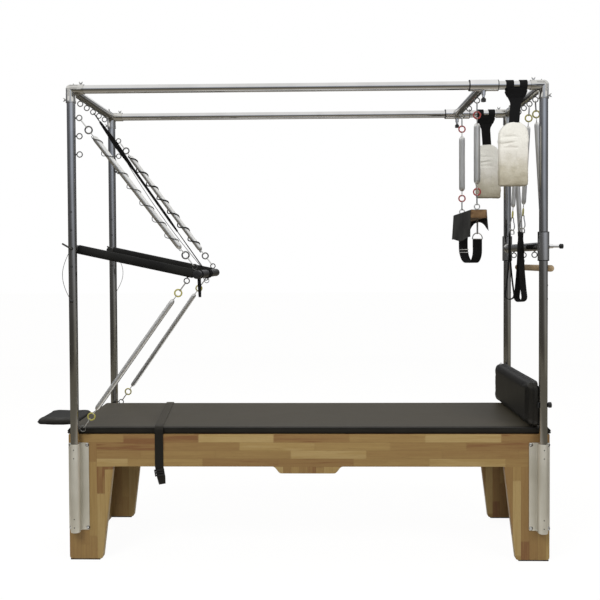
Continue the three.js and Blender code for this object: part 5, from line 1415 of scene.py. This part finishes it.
def slab(name, outline, way, low, high, edges, voxel, pressure, cap, is_held, node, finish=pad_vinyl):
    bm = bmesh.new()
    board(bm, outline, way, low, high)
    for level, radius in zip((low, high), edges):
        rim = [edge for edge in bm.edges if all(abs(vertex.co[way] - level) < 0.01 for vertex in edge.verts)]
        bmesh.ops.bevel(bm, geom=rim, offset=radius, offset_type="OFFSET", affect="EDGES", segments=5,
                        profile=0.5, material=-1, clamp_overlap=True)
    made = piece(name, bm, finish, "pad_cover", node, sharp=180)
    remesh(made, voxel)
    blow_up(made, pressure, cap, is_held)
    return made


def drawn_outline(half_u, half_v, corner, draw, middle=(0, 0)):
    points = rounded_outline(-half_u, half_u, -half_v, half_v, corner, corner)
    filled = []
    for here, there in zip(points, points[1:] + points[:1]):
        cuts = side_cuts if math.dist(here, there) > corner * 2 else 1
        for cut in range(cuts):
            share = cut / cuts
            filled.append((here[0] + (there[0] - here[0]) * share, here[1] + (there[1] - here[1]) * share))
    drawn = []
    for u, v in filled:
        pull_u = draw * max(0.0, 1 - (v / half_v) ** 2) * (abs(u) / half_u) ** 6
        pull_v = draw * max(0.0, 1 - (u / half_u) ** 2) * (abs(v) / half_v) ** 6
        drawn.append((u - math.copysign(pull_u, u) + middle[0], v - math.copysign(pull_v, v) + middle[1]))
    return drawn


def droop(u, height):
    over = (abs(u) - (mattress_half - end_round)) / end_round
    return height * math.sqrt(max(0.16, 1 - max(0.0, over) ** 2))


mattress_low, mattress_thick, mattress_half, end_round = 573.3, 32.4, 1093, 26
mattress_outline = drawn_outline(mattress_half, 315, 15, 2.0)
mattress = slab("mattress_cover", mattress_outline, 2, mattress_low, mattress_low + mattress_thick, (2.5, 8),
                0.0070, 3.0, 0.0016, lambda place: place.z < 0.5745, "mattress", mattress_vinyl_painted_sheen)
for vertex in mattress.data.vertices:
    u = (vertex.co.x - bench_middle) * 1000
    vertex.co.z = (mattress_low + droop(u, vertex.co.z * 1000 - mattress_low)) / 1000
foot_low, foot_high, foot_thick = 607.6, 812.6, 47
sleeve_room, room_starts, room_ramp = 0.0262, 0.780, 0.010
foot_back = post_x - tube_radius - clearance
foot_mid, foot_half, end_swell = (foot_low + foot_high) / 2, (foot_high - foot_low) / 2 - 1, 7
foot_outline = [
    (u + (math.copysign(end_swell * (1 - ((v - foot_mid) / foot_half) ** 2), u) if abs(u) > 300 else 0), v)
    for u, v in drawn_outline(344, foot_half, 34, 0.5, (0, foot_mid))]
footboard = slab("footboard_cover", foot_outline, 0, foot_back - foot_thick, foot_back + 1.5, (22, 2),
                 0.0050, 4.0, 0.005, lambda place: place.x > bench_middle + (foot_back - 1) / 1000,
                 "footboard_pad")
for vertex in footboard.data.vertices:
    for _, side in sides:
        corner = Vector((vertex.co.x - bench_middle - post_x / 1000, vertex.co.y - side * post_y / 1000))
        if corner.length < sleeve_room:
            ramp = min(1, max(0, (vertex.co.z - room_starts) / room_ramp))
            away = (sleeve_room / corner.length - 1) * ramp
            vertex.co.x += corner.x * away
            vertex.co.y += corner.y * away
head_middle, head_low, head_thick = (-frame_end - 115.8, 0), 577, 26
head_outline = drawn_outline(104, 127, 38, 0.5, head_middle)
head = slab("head_pad_cover", head_outline, 2, head_low, head_low + head_thick, (6, 15), 0.0040, 4.0, 0.003,
            lambda place: place.z < 0.5785, "head_pad")

# %% [markdown]
# Welts are drawn along the same outlines as the covers, as a thin round cord pulled against the side. They
# ride with their pads. The mattress has a second one along its upper edge, in a lighter and glossier vinyl
# than the cover: a painted highlight line along that edge. The footboard's two lugs and its back board, and
# the batten under the head pad, are plain sawn pieces.

# %% Welts, lugs, back board and batten
bolt_z = 710
welts = bmesh.new()
wire(welts, [(u * 0.9997, v * 1.0004, mattress_low + 4.5) for u, v in mattress_outline], 1.0, closed=True)
wire(welts, [(u, v, head_low + 9) for u, v in drawn_outline(105, 128, 39, 0.5, head_middle)], 1.1,
     closed=True)
wire(welts, [(foot_back - 22, u * 1.002, foot_mid + (v - foot_mid) * 1.009) for u, v in foot_outline],
     1.2, closed=True)
piece("pad_welts", welts, pad_vinyl, "pad_cover", body="bench_and_canopy", sharp=80)
# A cord along the mattress's upper edge in the lighter vinyl: a painted highlight line.
piping = bmesh.new()
wire(piping, [(u * 0.9993, v * 0.9988, mattress_low + droop(u, 28)) for u, v in mattress_outline], 1.6,
     closed=True)
piece("mattress_piping_painted_highlight", piping, piping_vinyl_painted_highlight, "pad_cover", body="bench_and_canopy", sharp=80)
bm = bmesh.new()
for _, side in sides:
    wide = sorted((side * 265, side * (post_y + 12)))
    block(bm, (foot_back - 8, wide[0], bolt_z - 12), (foot_back, wide[1], bolt_z + 12))
block(bm, (foot_back - 4, -320, 612), (foot_back + 11, 320, 788))
block(bm, (-frame_end - 22.3, -62.5, 535), (-frame_end - clearance, 62.5, 577.6))
round_edges(bm, 2, 3)
piece("pad_brackets", bm, black_plastic, "knob_plastic", body="bench_and_canopy")
for side_name, side in sides:
    bm = bmesh.new()
    y = side * post_y
    rod(bm, (foot_back + clearance, y, bolt_z), (post_x + 20, y, bolt_z), 4, 0.5, 20)
    knob_x = post_x + tube_radius + clearance
    turned(bm, (knob_x, y, bolt_z), (1, 0, 0), [
        (0, 0), (0, 9), (1.2, 10.4), (3.2, 10.6), (4.4, 12.2), (5.6, 13), (15, 13), (16.4, 12), (17, 10),
        (17, 0)], 12)
    round_edges(bm, 0.7, 2, 25)
    piece(f"footboard_knob_{side_name}", bm, black_plastic, "knob_plastic", f"footboard_bolt_{side_name}",
          sharp=60)

# %% [markdown]
# The foot loops are soft cotton straps that hang from a wire triangle, one seen flat and one from its
# edge. Each is a single band folded into a long drop and stitched together above. The stitched part
# shows as two layers held by a thicker patch.

# %% Foot loops
loop_top, loop_drop, loop_steps, layer_gap, loop_half = 1402, 224, 8, 2.1, 22
for side_name, side in sides:
    y = side * crossbar_eye_pitch
    faces_end = side < 0
    half, r = 21, 24
    loop_x = post_x - tube_radius - 0.6 - (half if faces_end else r)
    centre = Vector((loop_x, y, 0))
    across = Vector((1, 0, 0)) if faces_end else Vector((0, 1, 0))
    spread = Vector((0, 1, 0)) if faces_end else Vector((1, 0, 0))
    bm = bmesh.new()
    path = []
    for step in range(loop_steps + 1):
        share = step / loop_steps
        out = layer_gap + (loop_half - layer_gap) * share ** 1.6
        path.append(centre + spread * -out + Vector((0, 0, loop_top - loop_drop * share)))
    path += arc(centre + Vector((0, 0, loop_top - loop_drop)), -spread, down, loop_half, 20, 160, 12)
    for step in range(loop_steps + 1):
        share = 1 - step / loop_steps
        out = layer_gap + (loop_half - layer_gap) * share ** 1.6
        path.append(centre + spread * out + Vector((0, 0, loop_top - loop_drop * share)))
    strap(bm, path, across, 41, 3.4, 4)
    for offset in (-1.9, 1.9):
        upper = [centre + spread * offset + Vector((0, 0, 1484 - 84 * step / 6)) for step in range(7)]
        widths = [38 - 14 * math.sin(math.pi * min(1, step / 4)) * 0.5 for step in range(7)]
        strap(bm, upper, across, widths, 3.6, 3)
    for offset in (4, -4):
        patch = [centre + spread * offset + Vector((0, 0, z)) for z in (1404, 1420, 1436)]
        strap(bm, patch, across, 36, 1.4)
    turned_by = math.radians(39 if faces_end else -6)
    bmesh.ops.rotate(bm, verts=bm.verts, cent=centre, matrix=Matrix.Rotation(turned_by, 3, "Z"))
    piece(f"cotton_loop_{side_name}", bm, webbing, "black_webbing", f"foot_loop_{side_name}", sharp=50)
    bm = bmesh.new()
    ring_mid = Vector((post_x - 34, y, loop_ring_z))
    d_path = arc(ring_mid, (1, 0, 0), (0, 0, 1), 12, -20, 200, 16)
    d_path += [Vector((ring_mid.x - 12, y, 1480)), Vector((ring_mid.x + 12, y, 1480))]
    wire(bm, d_path, 2.4, closed=True)
    piece(f"loop_ring_{side_name}", bm, link_steel, None, body=f"foot_strap_{side_name}")

# %% [markdown]
# The roll-down bar is a turned dowel with rounded ends. Its two eyes are screwed in towards the
# springs.

# %% Roll-down bar
bm = bmesh.new()
turned(bm, (roll_axis.x, -310, roll_axis.z), (0, 1, 0), [
    (0, 0), (0, 10), (1.6, 13.4), (5, dowel_radius), (615, dowel_radius), (618.4, 13.4), (620, 10),
    (620, 0)], 44)
piece("roll_dowel", bm, dowel_wood, "dowel_wood", "roll_down_bar")
bm = bmesh.new()
for _, side in sides:
    eye(bm, (roll_axis.x, side * roll_eye_y, roll_axis.z), roll_way, dowel_radius)
piece("roll_eyes", bm, spring_wire, "spring_steel", body="roll_down")

# %% [markdown]
# A belt goes round the bench and over the mattress, to hold a person's feet or to keep the mattress
# down. It runs a little askew. Below the front rail it meets a black ladder buckle, and its spare end
# hangs down.

# %% Bench belt
belt_x, belt_skew, belt_width, belt_y = -671, 67, 38, 323.8
belt_rise = (424.5, 470, 520, 570, 592)


def belt_point(y, z):
    share = (y + 322.6) / 645.2
    return Vector((belt_x - share * belt_skew, y, z))


bm, buckle = bmesh.new(), bmesh.new()
loop = [belt_point(-belt_y, z) for z in belt_rise]
loop += [belt_point(-belt_y + 3 + 1.5, 603), belt_point(-belt_y + 14, 608.2)]
loop += [belt_point(y, 608.9) for y in (-250, -150, -50, 50, 150, 250)]
loop += [belt_point(belt_y - 14, 608.2), belt_point(belt_y - 4.5, 603)]
loop += [belt_point(belt_y, z) for z in reversed(belt_rise)]
loop += [belt_point(y, 424.4) for y in (250, 100, -100, -250)] + [belt_point(-belt_y, 424.4)]
strap(bm, loop, (1, 0, 0), belt_width, 2.0, 4)
tail = [belt_point(-belt_y - 0.6, 430) + Vector((14 * step / 8, -1.2 * math.sin(step), -82 * step / 8))
        for step in range(9)]
strap(bm, tail, (1, 0, 0.17), [belt_width - 8 * max(0, step - 5) / 3 for step in range(9)], 2.0, 3)
piece("belt_band", bm, belt_webbing_painted_sheen, "black_webbing", "bench_belt", sharp=45)
front = -belt_y - 1.4
for rise, fall in ((417, 409), (404, 398), (393, 386)):
    block(buckle, (belt_x - 22, front - 5.5, fall), (belt_x + 22, front - 0.2, rise))
for edge in (-22.4, 17.4):
    block(buckle, (belt_x + edge, front - 6.2, 385.5), (belt_x + edge + 5, front + 0.4, 416.8))
round_edges(buckle, 1.1, 2)
bmesh.ops.rotate(buckle, verts=buckle.verts, cent=(belt_x, front, 417),
                 matrix=Matrix.Rotation(math.radians(-9), 3, "Y"))
piece("belt_buckle", buckle, black_plastic, "knob_plastic", body="bench_and_canopy")

# %% [markdown]
# The studio is plain: a pale floor, a white surround, one broad lamp high on the left and a weaker one
# on the right. The floor is white to the camera but still keeps the object's shadow. Polished tubes
# need something dark to mirror, as in a real studio, so tall grey cards stand round the set where
# only reflections see them.

# %% Floor and surround
floor_bm = bmesh.new()
bmesh.ops.create_grid(floor_bm, x_segments=1, y_segments=1, size=30)
floor_mesh = bpy.data.meshes.new("studio_floor")
floor_bm.to_mesh(floor_mesh)
floor_bm.free()
floor = bpy.data.objects.new("studio_floor", floor_mesh)
bpy.context.scene.collection.objects.link(floor)
floor_paint, tree, shader = start_finish("floor_paint", (0.62, 0.60, 0.56), 0.9)
glow = add_node(tree, "ShaderNodeEmission", {"Color": (1, 1, 1, 1), "Strength": 1.06})
share = number(tree, "MULTIPLY", seen_by_camera(tree), 0.90)
mixed = add_node(tree, "ShaderNodeMixShader", {0: share, 1: shader.outputs[0], 2: glow.outputs[0]})
tree.links.new(mixed.outputs[0], tree.nodes["Material Output"].inputs["Surface"])
floor_mesh.materials.append(floor_paint)

world = bpy.data.worlds.new("studio_surround")
world.use_nodes = True
bpy.context.scene.world = world
tree = world.node_tree
tree.nodes.clear()
soft_light = add_node(tree, "ShaderNodeBackground", {"Color": (1.0, 0.985, 0.96, 1), "Strength": 0.50})
white_wall = add_node(tree, "ShaderNodeBackground", {"Color": (1, 1, 1, 1), "Strength": 1.0})
mixed = add_node(tree, "ShaderNodeMixShader", {
    0: seen_by_camera(tree), 1: soft_light.outputs[0], 2: white_wall.outputs[0]})
out = add_node(tree, "ShaderNodeOutputWorld", {0: mixed.outputs[0]})

# %% [markdown]
# The cards are a tall ring round the set and a flat ring on the floor. Their glow changes with height
# and with distance, brown below and blue-grey above, as a room with a wooden floor and a window does.
# One side of the tall ring glows more: at the top behind the camera, and lower down further to the
# right. It draws the soft bright band along the middle of each post and leaves the post's edges dark.

# %% Reflection cards
card_radius, card_height, floor_card_z = 7.5, 4.4, 0.004


def card_glow(name, place_from, low, high, stops, window=None):
    made, tree, shader = start_finish(name, (0.05, 0.05, 0.05), 1.0)
    coords = add_node(tree, "ShaderNodeTexCoord")
    parts = add_node(tree, "ShaderNodeSeparateXYZ", {0: coords.outputs["Object"]})
    away = number(tree, "SUBTRACT", parts.outputs[0], bench_middle)
    if place_from == "height":
        value = parts.outputs[2]
    else:
        value = number(tree, "SQRT", number(tree, "ADD", number(tree, "MULTIPLY", away, away), number(
            tree, "MULTIPLY", parts.outputs[1], parts.outputs[1])))
    reach = add_node(tree, "ShaderNodeMapRange", {"Value": value, "From Min": low, "From Max": high})
    colour = tints(tree, reach.outputs["Result"], stops)
    if window:
        turned_by = number(tree, "ARCTAN2", parts.outputs[1], away)
        facing = add_node(tree, "ShaderNodeMapRange", {
            "Value": reach.outputs["Result"], "From Min": 0.05, "From Max": 0.55,
            "To Min": math.radians(-28), "To Max": math.radians(-76)})
        lobe = number(tree, "COSINE", number(tree, "SUBTRACT", turned_by, facing.outputs["Result"]))
        lobe = number(tree, "POWER", number(tree, "MAXIMUM", lobe, 0.0), 4.0)
        pane = tints(tree, reach.outputs["Result"], window)
        mixed = add_node(tree, "ShaderNodeMix", {0: lobe, 6: colour, 7: pane}, data_type="RGBA")
        colour = mixed.outputs[2]
    glow = add_node(tree, "ShaderNodeEmission", {"Color": colour, "Strength": 1.0})
    tree.links.new(glow.outputs[0], tree.nodes["Material Output"].inputs["Surface"])
    return made


def only_reflected(name, bm, glow):
    mesh = bpy.data.meshes.new(name)
    bm.to_mesh(mesh)
    bm.free()
    mesh.materials.append(glow)
    made = bpy.data.objects.new(name, mesh)
    bpy.context.scene.collection.objects.link(made)
    made.visible_camera = False
    made.visible_diffuse = False
    made.visible_shadow = False
    made.visible_transmission = False


bm = bmesh.new()
bmesh.ops.create_cone(bm, cap_ends=False, segments=64, radius1=card_radius, radius2=card_radius,
                      depth=card_height, matrix=Matrix.Translation((bench_middle, 0, card_height / 2)))
only_reflected("tall_cards", bm, card_glow("tall_card_glow", "height", 0.0, card_height, [
    (0.0, (0.060, 0.055, 0.045)), (0.31, (0.085, 0.083, 0.080)), (0.72, (0.13, 0.135, 0.15)),
    (1.0, (0.42, 0.43, 0.45))], [
    (0.05, (0.25, 0.235, 0.195)), (0.31, (0.30, 0.305, 0.32)), (0.72, (0.56, 0.61, 0.72)),
    (1.0, (0.80, 0.84, 0.92))]))
bm = bmesh.new()
card_centre = Vector((bench_middle, 0, floor_card_z))
bmesh.ops.create_circle(bm, cap_ends=False, segments=64, radius=1.25,
                        matrix=Matrix.Translation(card_centre) @ Matrix.Diagonal((1.15, 0.75, 1, 1)))
grown = bmesh.ops.extrude_edge_only(bm, edges=bm.edges[:])["geom"]
for vertex in filter(is_vertex, grown):
    way = Vector((vertex.co.x - bench_middle, vertex.co.y, 0)).normalized()
    vertex.co = card_centre + way * card_radius
only_reflected("floor_cards", bm, card_glow("floor_card_glow", "distance", 0.9, 4.0, [
    (0.0, (0.42, 0.39, 0.34)), (0.42, (0.34, 0.31, 0.26)), (0.75, (0.150, 0.138, 0.110))]))

# %% [markdown]
# The lamps are broad and soft: a main lamp high on the left, a weaker one on the right and one behind.
# Metal mirrors the cards and not the lamps, because a lamp's mirror image in a narrow tube is a hard
# dotted line that no camera in a soft studio would show.

# %% Lamps
lamp_size, lamp_aim = 2.6, Vector((0.08, 0, 1.0))


def lamp(name, place, watts):
    light = bpy.data.lights.new(name, "AREA")
    light.shape = "DISK"
    light.size = lamp_size
    light.energy = watts
    made = bpy.data.objects.new(name, light)
    made.location = place
    made.rotation_mode = "QUATERNION"
    made.rotation_quaternion = (lamp_aim - Vector(place)).to_track_quat("-Z", "Y")
    made.visible_glossy = False
    bpy.context.scene.collection.objects.link(made)


lamp("key_lamp", (-2.2, -4.4, 4.8), 215)
lamp("fill_lamp", (3.6, -3.8, 3.2), 80)
lamp("back_lamp", (0.5, 3.6, 4.4), 45)
bpy.context.scene.view_settings.view_transform = "Standard"
